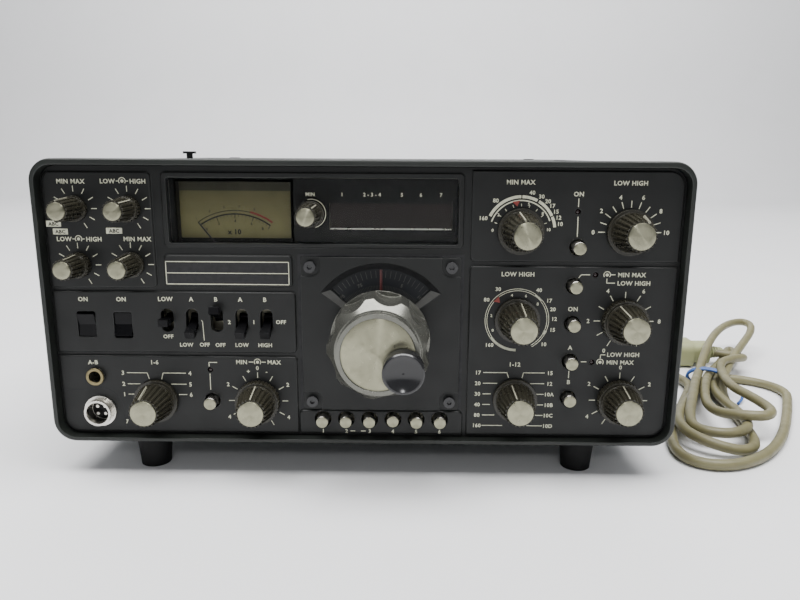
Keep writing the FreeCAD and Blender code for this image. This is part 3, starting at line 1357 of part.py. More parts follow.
def build_all():
    for maker in (front_bezel, front_panel, display_window, tuning_panel, panel_sockets,
                  meter_housing, chassis, amplifier_cage, power_transformer, circuit_boards,
                  rear_sockets, feet, case_fasteners, cord_lead, cord_hank, mains_plug,
                  tuning_knob, tuning_crank, tuning_dial, meter_needle, fan_rotor):
        keep(maker())
    keep(cover("top_cover", upper=True))
    keep(cover("bottom_cover", upper=False))
    for control, (_, _, _, style, ring) in ROTARY.items():
        keep(rotary_knob(control, style, ring is not None))
        if ring:
            keep(knob_ring(ring, control, style))
    for name, (x, height) in BUTTONS.items():
        keep(push_button(name, x, height, "Sizes.button_radius", "Sizes.button_proud"))
    for index, (x, height) in enumerate(memory_places(), start=1):
        proud = "Sizes.memory_proud"
        if index == MEMORY_LATCHED:
            proud = "(Sizes.memory_proud - Sizes.latched_in)"
        keep(push_button(f"memory_button_{index}", x, height, "Sizes.memory_radius", proud))
    for name, (x, height, way) in ROCKERS.items():
        keep(rocker(name, x, height, way))
    for index, ((x, height), way) in enumerate(zip(lever_places(), LEVER_THROWS)):
        keep(lever(index, x, height, way))


def check_document():
    """Stop if any object failed, if a cut removed nothing, or if a node's shape is unsound."""
    for item in doc.Objects:
        if any(word in state for state in item.State for word in ("Invalid", "Error")):
            raise ValueError(f"{item.Name} is {item.State}")
        cutting = "Pocket" in item.TypeId or "Subtractive" in item.TypeId
        if cutting and item.BaseFeature is not None:
            removed = item.BaseFeature.Shape.Volume - item.Shape.Volume
            if removed < 0.01:
                raise ValueError(f"{item.Name} cuts nothing")
    for node in NODES:
        if node.Shape.isNull() or not node.Shape.isValid():
            raise ValueError(f"{node.Label} has no valid shape")
        if not node.Shape.Solids:
            raise ValueError(f"{node.Label} has no solid")


def write_parts():
    os.makedirs(PARTS_FOLDER, exist_ok=True)
    for node in NODES:
        node.Shape.exportStep(f"{PARTS_FOLDER}/{node.Label}.step")
        print(node.Label, len(node.Shape.Solids))


build_all()
doc.recompute()
check_document()
write_parts()
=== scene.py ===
"""Desktop short-wave transceiver: finishes, printing, dials, lamps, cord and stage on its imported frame."""
import math

import bmesh
import bpy
from bpy.props import FloatProperty, FloatVectorProperty, IntProperty, PointerProperty
from mathutils import Matrix, Vector


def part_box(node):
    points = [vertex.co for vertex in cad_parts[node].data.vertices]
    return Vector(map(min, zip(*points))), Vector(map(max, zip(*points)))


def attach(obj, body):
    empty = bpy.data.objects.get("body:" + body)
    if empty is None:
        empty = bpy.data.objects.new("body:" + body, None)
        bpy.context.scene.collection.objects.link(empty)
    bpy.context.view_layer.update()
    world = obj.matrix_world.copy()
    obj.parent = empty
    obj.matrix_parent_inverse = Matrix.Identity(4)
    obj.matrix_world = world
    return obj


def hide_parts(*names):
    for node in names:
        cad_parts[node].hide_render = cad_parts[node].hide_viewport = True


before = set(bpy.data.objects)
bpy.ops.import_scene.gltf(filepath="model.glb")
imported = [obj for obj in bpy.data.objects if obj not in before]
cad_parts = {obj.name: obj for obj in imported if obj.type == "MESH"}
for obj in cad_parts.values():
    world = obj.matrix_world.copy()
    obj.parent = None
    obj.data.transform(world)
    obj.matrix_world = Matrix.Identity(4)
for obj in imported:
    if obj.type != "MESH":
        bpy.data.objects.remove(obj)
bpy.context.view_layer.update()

bl_info = {
    "name": "Desktop Short-Wave Transceiver",
    "version": (1, 0, 0),
    "blender": (4, 5, 0),
    "location": "3D View > Sidebar > Transceiver",
    "description": "Finishes, printing, knob caps, meter, mains lead and stage of a desktop transceiver",
    "category": "Object",
}

MM = 0.001
BEZEL_LOW, BEZEL_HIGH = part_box("front_bezel")
FRONT = BEZEL_LOW.y
BASE = BEZEL_LOW.z

# Depths behind the bezel's front face, in millimetres.
FIELD_DEPTH = 5.0
GLASS_FRONT = 7.5
GLASS_BACK = 9.5
DIAL_DEPTH = 7.2
METER_FACE_DEPTH = 15.0
REAR_FACE_DEPTH = 278.0

# Rotary controls: x, height, cap distance in front of the bezel, size, pointer angle.
KNOBS = {
    "vox_gain": (-150.6, 128.2, 14.8, "small", -5),
    "carrier": (-122.4, 128.3, 15.0, "small", 38),
    "mic_gain": (-150.8, 98.4, 14.2, "small", 10),
    "peak_filter": (-122.7, 98.8, 14.8, "small", 17),
    "dimmer": (-26.8, 126.1, 15.2, "small", 35),
    "mode": (-114.5, 22.7, 16.0, "large", -15),
    "width": (-58.0, 22.9, 15.8, "large", 0),
    "plate": (82.8, 117.8, 18.5, "large", -10),
    "loading": (139.7, 117.6, 15.0, "large", 27),
    "preselect": (82.9, 70.0, 19.2, "large", 5),
    "band": (83.4, 25.0, 16.2, "large", -15),
    "af_gain": (140.1, 69.9, 17.2, "large", -25),
    "clarifier": (140.3, 25.0, 15.2, "large", 0),
}
CAP_RADIUS = {"small": 4.4, "large": 6.7}
BARREL = {"small": (6.1, 5.4, 4.6), "large": (10.5, 7.9, 5.6)}
RINGS = ("keyer_ring", "squelch_ring", "reject_ring", "processor_ring", "rf_gain_ring")
PUSH_BUTTONS = {
    "reject_button": (-83.5, 22.8),
    "tune_button": (113.1, 109.5),
    "processor_button": (112.4, 88.9),
    "attenuator_button": (112.6, 68.1),
    "receive_offset_button": (112.5, 47.1),
    "transmit_offset_button": (112.6, 26.1),
}
MEMORY_BUTTONS = 6
PRESSED_BUTTON = 4
MEMORY_FIRST, MEMORY_PITCH, MEMORY_HEIGHT = -22.4, 12.95, 12.5
LABEL_BOXES = ((-166.3, -158.5, 118.6, 121.7), (-163.1, -155.2, 114.5, 117.6),
               (-134.9, -126.4, 115.1, 118.2))
NAMEPLATE = (-104.7, -39.2, 88.4, 100.5)
LAMPS = ((112.3, 128.1), (123.6, 94.9), (124.7, 46.7), (-84.0, 40.5))
TUNING = (9.7, 60.7)
TUNING_RIM = 37.5
TUNING_PLATE = 85.4

# Route of the lead from the mains entry to the tied loops, in metres.
LEAD_ROUTE = (
    (0.0450, 0.1780, 0.0420),
    (0.0450, 0.2040, 0.0420),
    (0.0500, 0.2320, 0.0310),
    (0.0680, 0.2540, 0.0150),
    (0.0980, 0.2620, 0.0046),
    (0.1340, 0.2560, 0.0036),
    (0.1680, 0.2380, 0.0036),
    (0.1940, 0.2080, 0.0036),
    (0.2090, 0.1720, 0.0036),
    (0.2150, 0.1340, 0.0036),
    (0.2160, 0.0960, 0.0036),
    (0.2230, 0.0600, 0.0036),
)
TIE = Vector((0.256, 0.019, 0.0))
HANK_ANGLE = math.radians(61.3)
# Half turns of the tied lead, each from one side of the tie round its end and back: reach (towards
# the front of the set if positive), side offset at its start and end, bulge at its start and end,
# lean of its tip, and heights along it, all in millimetres.
HALF_TURNS = (
    (152, -10.0, 55.0, 4.0, 10.0, -10.0, (5.0, 3.6, 3.6, 3.6, 3.6, 3.6, 3.6, 3.6, 3.6)),
    (-28, 55.0, -3.3, 1.0, 2.0, 0.0, (3.6, 3.6, 3.6, 4.0, 5.0)),
    (130, -3.3, 10.1, 14.0, 25.0, 14.0, (5.0, 9.8, 10.3, 10.3, 8.0, 3.8, 3.6, 3.6, 5.0)),
    (-145, 10.1, -6.7, 8.0, 4.0, 15.0, (5.0, 15.5, 21.0, 24.0, 25.0, 25.6, 25.6, 25.6, 10.8)),
    (117, -6.7, 3.4, 0.0, 30.0, 14.0, (10.8, 16.8, 14.0, 10.3, 10.3, 10.3, 10.3, 8.0, 5.0)),
    (-118, 3.4, 0.0, 10.0, -4.0, 6.0, (5.0, 3.6, 3.6, 3.6, 3.6, 3.6, 3.6, 5.0, 10.8)),
    (93, 0.0, 6.7, 7.0, 27.0, 27.0, (10.8, 13.0, 12.0, 13.0, 16.8, 17.0, 17.0, 16.8, 10.8)),
)
LEAD_END = (
    (0.2720, 0.0380, 0.0155),
    (0.2880, 0.0460, 0.0172),
    (0.3020, 0.0560, 0.0145),
    (0.3060, 0.0690, 0.0112),
    (0.2990, 0.0810, 0.0105),
    (0.2830, 0.0850, 0.0110),
)
PLUG_FACE = Vector((0.283, 0.085, 0.011))
# Seat of the rubber sleeve where the lead leaves the set: x, height and distance before the bezel.
SLEEVE_SEAT = (45.0, 22.0, -290.1)

# The eye: place in metres; turn, dip and roll in degrees; lens and film width in millimetres.
EYE = (0.02374, -0.48493, 0.17662)
EYE_ANGLES = (-0.598, 12.062, -0.316)
LENS = 30.6
FILM_WIDTH = 36.0

# The pale sweep, in metres, and the lights: place, aim, size and power.
SWEEP_NEAR = -2.4
SWEEP_WALL = 2.6
SWEEP_HEIGHT = 2.6
SWEEP_HALF_WIDTH = 4.0
SWEEP_RADIUS = 0.5
LIGHTS = {
    "ceiling_light": ((0.0, -0.35, 1.75), (0.0, -0.10, 0.0), (2.4, 0.9), 92),
    "wall_light": ((0.0, 1.35, 1.9), (0.0, 2.4, 0.3), (3.0, 0.5), 55),
    "front_lamp": ((0.04, -1.05, 0.62), (0.0, 0.0, 0.08), (0.12, 0.12), 1.4),
}
SKY_COLOUR = (0.93, 0.96, 1.0, 1.0)
SKY_STRENGTH = 0.3


def tone(label, default):
    """A colour that can be changed in the sidebar, as linear light."""
    return FloatVectorProperty(name=label, description=f"Colour of the {label.lower()}",
                               subtype="COLOR", size=3, min=0.0, max=1.0, default=default)


def measure(label, description, millimetres):
    """A length that can be changed in the sidebar."""
    return FloatProperty(name=label, description=description, subtype="DISTANCE", unit="LENGTH",
                         min=0.0, default=millimetres * MM)


class TransceiverTones(bpy.types.PropertyGroup):
    """Colours of the set."""
    panel: tone("Front panel", (0.0105, 0.011, 0.0105))
    bezel: tone("Front bezel", (0.016, 0.018, 0.016))
    cover: tone("Cabinet covers", (0.020, 0.026, 0.022))
    knob: tone("Knobs", (0.019, 0.0175, 0.012))
    spun: tone("Spun metal", (0.285, 0.278, 0.198))
    ink: tone("Printing", (0.58, 0.58, 0.44))
    meter: tone("Meter face", (0.23, 0.205, 0.085))
    lead: tone("Mains lead", (0.155, 0.142, 0.070))
    plug: tone("Mains plug", (0.29, 0.30, 0.15))
    tie: tone("Lead tie", (0.03, 0.09, 0.30))
    floor: tone("Floor", (0.80, 0.80, 0.81))


class TransceiverSizes(bpy.types.PropertyGroup):
    """Sizes of the pieces added to the frame."""
    ink_rise: measure("Ink height", "How far the printing stands off the panel", 0.05)
    label: measure("Label height", "Height of the capital letters on the panel", 2.4)
    figure: measure("Figure height", "Height of the figures round the dials", 2.3)
    stroke: measure("Line width", "Width of a printed line", 0.45)
    lead: measure("Lead diameter", "Diameter of the mains lead", 6.5)
    turn_points: IntProperty(name="Points per half turn", min=6, default=10,
                             description="Points of the lead along each half turn of its loops")


# ---------------------------------------------------------------- places and meshes


def spot(x, height, front=0.0):
    """A point given by its place on the front of the set, in millimetres in front of the bezel."""
    return Vector((x * MM, FRONT - front * MM, BASE + height * MM))


def facing(x, height, front=0.0, turn=0.0):
    """Frame whose Z axis comes out of the front of the set; turn is clockwise as seen from there."""
    return (Matrix.Translation(spot(x, height, front)) @ Matrix.Rotation(math.pi / 2, 4, "X")
            @ Matrix.Rotation(-math.radians(turn), 4, "Z"))


def facing_back(x, height, behind=0.0):
    """Frame whose Z axis comes out of the back of the set; x still runs as on the front."""
    return (Matrix.Translation(spot(x, height, -(REAR_FACE_DEPTH + behind)))
            @ Matrix.Rotation(math.pi, 4, "Z") @ Matrix.Rotation(math.pi / 2, 4, "X"))


def on_circle(radius, angle):
    """Point of a circle in millimetres; the angle is clockwise from the top, in degrees."""
    return radius * math.sin(math.radians(angle)), radius * math.cos(math.radians(angle))


def piece_from(mesh, name, place, material, body, smooth=True):
    """Make an object of a bmesh, put it in place and let it move with a body."""
    bmesh.ops.recalc_face_normals(mesh, faces=mesh.faces)
    data = bpy.data.meshes.new(name)
    mesh.to_mesh(data)
    mesh.free()
    if smooth:
        data.shade_smooth()
        data.set_sharp_from_angle(angle=math.radians(32))
    piece = bpy.data.objects.new(name, data)
    bpy.context.scene.collection.objects.link(piece)
    piece.matrix_world = place
    data.materials.append(material)
    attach(piece, body)
    return piece


def turned(name, profile, steps, place, material, body):
    """Piece turned from (radius, level) points in millimetres about its Z axis; radius 0 closes it."""
    mesh = bmesh.new()
    rings = []
    for radius, level in profile:
        angles = [2 * math.pi * step / steps for step in range(steps if radius else 1)]
        rings.append([mesh.verts.new((radius * math.cos(angle) * MM, radius * math.sin(angle) * MM,
                                      level * MM)) for angle in angles])
    for lower, upper in zip(rings, rings[1:]):
        for step in range(steps):
            following = (step + 1) % steps
            corners = [lower[step % len(lower)], lower[following % len(lower)],
                       upper[following % len(upper)], upper[step % len(upper)]]
            face = [v for i, v in enumerate(corners) if v not in corners[:i]]
            if len(face) > 2:
                mesh.faces.new(face)
    return piece_from(mesh, name, place, material, body)


def slab(mesh, outline, low, high):
    """Prism between two levels over an outline of (x, y) points, all in millimetres."""
    below = [mesh.verts.new((x * MM, y * MM, low * MM)) for x, y in outline]
    above = [mesh.verts.new((x * MM, y * MM, high * MM)) for x, y in outline]
    mesh.faces.new(list(reversed(below)))
    mesh.faces.new(above)
    count = len(outline)
    for index in range(count):
        following = (index + 1) % count
        mesh.faces.new((below[index], below[following], above[following], above[index]))


def plate(name, outline, thickness, place, material, smooth=True):
    """Flat fixed piece over an outline."""
    mesh = bmesh.new()
    slab(mesh, outline, 0.0, thickness)
    return piece_from(mesh, name, place, material, "root", smooth)


def box(left, right, base, top):
    """Outline of a plain rectangle."""
    return [(left, base), (right, base), (right, top), (left, top)]


def rounded(left, right, base, top, corner, steps=5):
    """Outline of a rectangle with rounded corners."""
    points = []
    for x, y, start in ((right - corner, top - corner, 0), (left + corner, top - corner, 90),
                        (left + corner, base + corner, 180), (right - corner, base + corner, 270)):
        for step in range(steps + 1):
            angle = math.radians(start + 90 * step / steps)
            points.append((x + corner * math.cos(angle), y + corner * math.sin(angle)))
    return points


class Print:
    """Ink on one flat face of the set: words, lines, arcs and boxes gathered into one mesh."""

    def __init__(self, sizes):
        self.mesh = bmesh.new()
        self.rise = sizes.ink_rise
        self.sizes = sizes

    def words(self, text, x, height, tall=None, align="CENTER", turn=0.0, weight=0.035):
        """Write some text whose capitals are tall metres high, centred on its height."""
        tall = tall or self.sizes.label
        curve = bpy.data.curves.new("lettering", "FONT")
        curve.body = text
        curve.size = tall / 0.73
        curve.align_x = align
        curve.offset = weight * tall
        curve.space_character = 1.08
        curve.resolution_u = 2
        holder = bpy.data.objects.new("lettering", curve)
        bpy.context.scene.collection.objects.link(holder)
        flat = bpy.data.meshes.new_from_object(holder.evaluated_get(
            bpy.context.evaluated_depsgraph_get()))
        first = len(self.mesh.verts)
        self.mesh.from_mesh(flat)
        self.mesh.verts.ensure_lookup_table()
        place = (Matrix.Translation((x * MM, height * MM, self.rise))
                 @ Matrix.Rotation(-math.radians(turn), 4, "Z")
                 @ Matrix.Translation((0, -tall / 2, 0)))
        bmesh.ops.transform(self.mesh, matrix=place, verts=self.mesh.verts[first:])
        bpy.data.objects.remove(holder)
        bpy.data.curves.remove(curve)
        bpy.data.meshes.remove(flat)

    def labels(self, *rows, tall=None):
        """Words from rows of text, x, height and, where it isn't centred, their alignment."""
        for text, x, height, *align in rows:
            self.words(text, x, height, tall, *align)

    def line(self, start, end, width=None):
        """A straight stroke between two points in millimetres."""
        width = (width or self.sizes.stroke / MM) / 2
        run = Vector(end) - Vector(start)
        across = Vector((-run.y, run.x)).normalized() * width
        a, b = Vector(start), Vector(end)
        slab(self.mesh, [a - across, b - across, b + across, a + across], 0, self.rise / MM)

    def path(self, *points, width=None):
        """Strokes along several points."""
        for start, end in zip(points, points[1:]):
            self.line(start, end, width)

    def lines(self, *ends, width=None):
        """Straight strokes, each from its two ends."""
        for start, end in ends:
            self.line(start, end, width)

    def box(self, left, right, base, top, low=0.0, high=None):
        """A filled rectangle."""
        slab(self.mesh, box(left, right, base, top), low,
             self.rise / MM if high is None else high)

    def arc(self, centre, radius, start, stop, width=None, step=4.0):
        """A curved stroke; angles run clockwise from the top."""
        width = (width or self.sizes.stroke / MM) / 2
        count = max(2, math.ceil(abs(stop - start) / step))
        angles = [start + (stop - start) * index / count for index in range(count + 1)]
        for first, second in zip(angles, angles[1:]):
            corners = []
            for reach, angle in ((radius - width, first), (radius - width, second),
                                 (radius + width, second), (radius + width, first)):
                x, y = on_circle(reach, angle)
                corners.append((centre[0] + x, centre[1] + y))
            slab(self.mesh, corners, 0, self.rise / MM)

    def ticks(self, centre, angles, inner, outer, width=None):
        """Radial strokes round a dial."""
        for angle in angles:
            a, b = on_circle(inner, angle), on_circle(outer, angle)
            self.line((centre[0] + a[0], centre[1] + a[1]), (centre[0] + b[0], centre[1] + b[1]),
                      width)

    def figures(self, centre, radius, marks, tall=None):
        """Upright figures round a dial, from pairs of angle and text."""
        for angle, text in marks:
            x, y = on_circle(radius, angle)
            self.words(str(text), centre[0] + x, centre[1] + y, tall or self.sizes.figure)

    def rings_symbol(self, centre):
        """Small sign for a control of two rings: a dot inside an open circle."""
        self.arc(centre, 1.75, -130, 130, 0.45, 12)
        slab(self.mesh, [(centre[0] + 0.85 * math.cos(a * math.pi / 6),
                          centre[1] + 0.85 * math.sin(a * math.pi / 6)) for a in range(12)],
             0, self.rise / MM)

    def done(self, name, place, material, body="root", slot="print_cream"):
        """Finish the ink as one piece."""
        return piece_from(self.mesh, name, place, material, body, smooth=False)


# ---------------------------------------------------------------- materials


class Recipe:
    """Nodes of one material, built round its surface shader."""

    def __init__(self, name, colour, roughness, metallic=0.0):
        self.material = bpy.data.materials.new(name)
        self.material.use_nodes = True
        self.tree = self.material.node_tree
        self.shader = self.tree.nodes["Principled BSDF"]
        self.colour = tuple(colour)
        self.shader.inputs["Roughness"].default_value = roughness
        self.shader.inputs["Metallic"].default_value = metallic
        self.place = self.node("ShaderNodeTexCoord").outputs["Object"]
        self.normal = None
        self.base = None

    def node(self, kind, inputs=None, **settings):
        """Add a node; its inputs are numbers or other nodes' outputs."""
        made = self.tree.nodes.new(kind)
        for key, value in settings.items():
            setattr(made, key, value)
        for key, value in (inputs or {}).items():
            if isinstance(value, bpy.types.NodeSocket):
                self.tree.links.new(value, made.inputs[key])
            else:
                made.inputs[key].default_value = value
        return made

    def noise(self, size_mm, detail=3.0):
        """Noise whose features are about size_mm across."""
        return self.node("ShaderNodeTexNoise", {"Vector": self.place, "Scale": 1000.0 / size_mm,
                                                "Detail": detail}).outputs["Fac"]

    def ramp(self, value, low, high, start=0.0, stop=1.0):
        """Map a value onto a range."""
        return self.node("ShaderNodeMapRange", {"Value": value, "From Min": start, "From Max": stop,
                                                "To Min": low, "To Max": high}).outputs["Result"]

    def shade(self, factor, light):
        """Colour of the shader, or what is already there, blended towards a lighter or darker one."""
        first = self.base if self.base else (*self.colour, 1.0)
        second = tuple(min(1.0, channel * light) for channel in self.colour) + (1.0,)
        return self.blend(factor, first, second)

    def blend(self, factor, first, second):
        """Mix two colours and keep the result as the base colour."""
        mix = self.node("ShaderNodeMix", {"Factor": factor}, data_type="RGBA")
        for socket, value in ((mix.inputs[6], first), (mix.inputs[7], second)):
            if isinstance(value, bpy.types.NodeSocket):
                self.tree.links.new(value, socket)
            else:
                socket.default_value = value if len(value) == 4 else (*value, 1.0)
        self.base = mix.outputs[2]
        return self.base

    def mottle(self, size_mm, light=1.35, dark=0.7):
        """Broad colour variation."""
        self.shade(self.ramp(self.noise(size_mm), 0.0, 0.8, 0.45, 0.75), light)
        self.shade(self.ramp(self.noise(size_mm * 0.37), 0.0, 0.7, 0.5, 0.8), dark)

    def edges(self, radius_mm, light, amount=0.6, least=0.35):
        """Round the edges a little and lighten them, partly as wear and partly as a painted highlight; least
        is the share lightened least.
        """
        rounded_normal = self.node("ShaderNodeBevel", {"Radius": radius_mm * MM}, samples=8)
        geometry = self.node("ShaderNodeNewGeometry")
        facing_share = self.node("ShaderNodeVectorMath", {0: rounded_normal.outputs[0],
                                                          1: geometry.outputs["Normal"]},
                                 operation="DOT_PRODUCT").outputs["Value"]
        # lighter edges: partly edge wear, partly a painted highlight where edges catch the light
        rub = self.ramp(facing_share, amount, 0.0, 0.78, 0.995)
        patchy = self.node("ShaderNodeMath", {0: rub, 1: self.ramp(self.noise(7.0), least, 1.0)},
                           operation="MULTIPLY").outputs[0]
        self.shade(patchy, light)
        self.normal = rounded_normal.outputs[0]

    def grain(self, size_mm, depth_mm, strength=0.6):
        """Fine relief of the surface."""
        inputs = {"Height": self.noise(size_mm, 2.0), "Strength": strength,
                  "Distance": depth_mm * MM}
        if self.normal:
            inputs["Normal"] = self.normal
        self.normal = self.node("ShaderNodeBump", inputs).outputs[0]

    def polish(self, size_mm, low, high):
        """Roughness that changes over the surface."""
        self.tree.links.new(self.ramp(self.noise(size_mm), low, high, 0.3, 0.7),
                            self.shader.inputs["Roughness"])

    def done(self):
        """Join colour and relief to the shader."""
        if self.base:
            self.tree.links.new(self.base, self.shader.inputs["Base Color"])
        else:
            self.shader.inputs["Base Color"].default_value = (*self.colour, 1.0)
        if self.normal:
            self.tree.links.new(self.normal, self.shader.inputs["Normal"])
        return self.material


def moulding(name, colour, roughness=0.5, grain_mm=0.7, depth_mm=0.05, rub=1.8, edge_mm=0.35,
             gloss=0.25):
    """Moulded plastic or enamel with a fine grain, uneven sheen, and edges lightened partly by wear and
    partly as a painted highlight.
    """
    recipe = Recipe(name, colour, roughness)
    recipe.shader.inputs["Specular IOR Level"].default_value = gloss
    recipe.mottle(38.0, 1.15, 0.86)
    recipe.edges(edge_mm, rub)
    recipe.grain(grain_mm, depth_mm)
    recipe.polish(16.0, roughness - 0.07, roughness + 0.09)
    return recipe.done()


def cover_paint(tones):
    """Green-grey textured enamel of the covers."""
    recipe = Recipe("cover_paint", tones.cover, 0.5)
    recipe.shader.inputs["Specular IOR Level"].default_value = 0.3
    recipe.mottle(70.0, 1.12, 0.88)
    recipe.edges(0.6, 2.0, 0.5)
    recipe.grain(1.6, 0.12, 0.5)
    recipe.grain(0.5, 0.04, 0.5)
    recipe.polish(20.0, 0.42, 0.58)
    return recipe.done()


def knob_plastic(tones):
    """Glossy brown-black plastic of the knobs, the edges of its ribs lighter, partly as wear and partly as a
    painted highlight.
    """
    recipe = Recipe("knob_plastic", tones.knob, 0.28)
    recipe.shader.inputs["Specular IOR Level"].default_value = 0.4
    recipe.mottle(30.0, 1.15, 0.88)
    recipe.edges(0.22, 5.5, 0.85, 0.75)
    recipe.grain(2.5, 0.004, 0.1)
    recipe.polish(9.0, 0.24, 0.32)
    return recipe.done()


def dark_anodising():
    """Grey-green anodised metal of the tuning knob, polished by fingers."""
    recipe = Recipe("dark_anodising", (0.135, 0.135, 0.118), 0.24, 0.75)
    recipe.mottle(24.0, 1.2, 0.8)
    recipe.edges(0.5, 1.5, 0.5, 0.8)
    recipe.grain(14.0, 0.02, 0.12)
    recipe.polish(12.0, 0.2, 0.3)
    return recipe.done()


def spun_metal(tones):
    """Aluminium turned on a lathe, with fine rings round its own axis."""
    recipe = Recipe("spun_metal", tones.spun, 0.3, 1.0)
    recipe.mottle(9.0, 1.12, 0.84)
    rings = recipe.node("ShaderNodeTexWave", {"Vector": recipe.place, "Scale": 700.0,
                                              "Distortion": 0.4, "Detail": 2.0},
                        wave_type="RINGS", rings_direction="Z").outputs["Fac"]
    recipe.normal = recipe.node("ShaderNodeBump", {"Height": rings, "Strength": 0.25,
                                                   "Distance": 0.01 * MM}).outputs[0]
    recipe.shader.inputs["Anisotropic"].default_value = 0.95
    recipe.shader.inputs["Anisotropic Rotation"].default_value = 0.25
    tangent = recipe.node("ShaderNodeTangent", direction_type="RADIAL", axis="Z")
    recipe.tree.links.new(tangent.outputs[0], recipe.shader.inputs["Tangent"])
    recipe.polish(3.0, 0.26, 0.36)
    return recipe.done()


def plain_metal(name, colour, roughness=0.28, grain_mm=1.5, spots=0.75):
    """Plated or bare metal with handling marks."""
    recipe = Recipe(name, colour, roughness, 1.0)
    recipe.mottle(11.0, 1.12, spots)
    recipe.edges(0.2, 1.3, 0.4)
    recipe.grain(grain_mm, 0.01, 0.35)
    recipe.polish(4.0, roughness - 0.08, roughness + 0.14)
    return recipe.done()


def ink(tones):
    """Silk-screened ink, a little worn."""
    recipe = Recipe("print_cream", tones.ink, 0.55)
    recipe.shade(recipe.ramp(recipe.noise(2.2), 0.0, 0.75, 0.5, 0.75), 0.6)
    recipe.grain(0.3, 0.01, 0.3)
    return recipe.done()


def tinted(name, colour, roughness=0.5, mottle_mm=8.0):
    """Small coloured piece with a little dirt."""
    recipe = Recipe(name, colour, roughness)
    recipe.mottle(mottle_mm, 1.2, 0.75)
    recipe.grain(0.6, 0.01, 0.3)
    recipe.polish(3.0, max(0.02, roughness - 0.06), roughness + 0.08)
    return recipe.done()


def window_glass():
    """Clear acrylic plate with a faint grey tint and wiping marks."""
    recipe = Recipe("window_glass", (0.80, 0.81, 0.79), 0.03)
    recipe.mottle(30.0, 1.05, 0.94)
    recipe.polish(9.0, 0.02, 0.05)
    recipe.grain(25.0, 0.01, 0.05)
    recipe.shader.inputs["Transmission Weight"].default_value = 1.0
    recipe.shader.inputs["IOR"].default_value = 1.12
    return recipe.done()


def meter_paper(tones):
    """Card of the meter's scale, darker and browner towards its top as painted shade."""
    recipe = Recipe("meter_scale", tones.meter, 0.6)
    recipe.mottle(12.0, 1.15, 0.78)
    height = recipe.node("ShaderNodeSeparateXYZ", {"Vector": recipe.place}).outputs["Y"]
    # painted shade: the card grows darker towards its top
    recipe.blend(recipe.ramp(height, 0.0, 0.75, 0.1155, 0.1375), recipe.base, (0.060, 0.050, 0.022))
    recipe.grain(0.6, 0.01, 0.3)
    return recipe.done()


def lead_sheath(tones):
    """Soft vinyl sheath, stained by years of handling."""
    recipe = Recipe("cord_sheath", tones.lead, 0.48)
    recipe.mottle(26.0, 1.25, 0.72)
    recipe.blend(recipe.ramp(recipe.noise(6.0), 0.0, 0.35, 0.55, 0.8), recipe.base,
                 (0.12, 0.10, 0.05))
    recipe.grain(0.9, 0.05, 0.4)
    recipe.polish(7.0, 0.38, 0.58)
    return recipe.done()


def floor_board(tones):
    """Matt white board of the sweep."""
    recipe = Recipe("floor_board", tones.floor, 0.6)
    recipe.mottle(300.0, 1.02, 0.97)
    recipe.grain(3.0, 0.02, 0.15)
    return recipe.done()


# Moulded or lacquered pieces.
MOULDINGS = {
    "core_lacquer": dict(colour=(0.05, 0.04, 0.035), roughness=0.35),
    "board_laminate": dict(colour=(0.22, 0.14, 0.05)),
    "foot_rubber": dict(colour=(0.007, 0.007, 0.007), roughness=0.6, grain_mm=0.8, depth_mm=0.04,
                        gloss=0.15),
    "black_fastener": dict(colour=(0.010, 0.010, 0.011), roughness=0.2, grain_mm=0.6,
                           depth_mm=0.004, rub=2.5, edge_mm=0.4, gloss=0.5),
    # The strong edge lightening of the black switches is a painted highlight on their edges.
    "switch_black": dict(colour=(0.003, 0.003, 0.0035), roughness=0.28, grain_mm=0.8,
                         depth_mm=0.005, rub=6.0, edge_mm=0.3, gloss=0.14),
    "fan_plastic": dict(colour=(0.02, 0.02, 0.02), roughness=0.45),
    "meter_case": dict(colour=(0.008, 0.008, 0.008), roughness=0.6),
    "dial_print": dict(colour=(0.008, 0.009, 0.011), roughness=0.45, grain_mm=0.5,
                       depth_mm=0.005),
}
METALS = {
    "nickel": dict(colour=(0.60, 0.58, 0.53)),
    "brass_nut": dict(colour=(0.22, 0.185, 0.10), roughness=0.35),
    "plated_steel": dict(colour=(0.52, 0.49, 0.38), roughness=0.4, grain_mm=2.0, spots=0.7),
}
# Small coloured pieces and inks.
TINTS = {
    "meter_shade": dict(colour=(0.035, 0.032, 0.018), roughness=0.6, mottle_mm=12.0),
    "needle_black": dict(colour=(0.01, 0.01, 0.01), roughness=0.4),
    "black_ink": dict(colour=(0.012, 0.012, 0.01), roughness=0.55),
    "red_ink": dict(colour=(0.22, 0.03, 0.022)),
    "readout_filter": dict(colour=(0.010, 0.004, 0.004), mottle_mm=20.0),
    "window_mask": dict(colour=(0.003, 0.003, 0.004), roughness=0.65, mottle_mm=40.0),
    "lamp_lens": dict(colour=(0.010, 0.002, 0.002), roughness=0.2),
    "dial_grey": dict(colour=(0.050, 0.050, 0.042), roughness=0.6),
    "pointer_grey": dict(colour=(0.30, 0.29, 0.22), roughness=0.45, mottle_mm=3.0),
    "cursor_red": dict(colour=(0.055, 0.008, 0.008), roughness=0.4),
    "hair_red": dict(colour=(0.16, 0.05, 0.045), roughness=0.4),
    "lip_grey": dict(colour=(0.12, 0.12, 0.112), roughness=0.4),
}


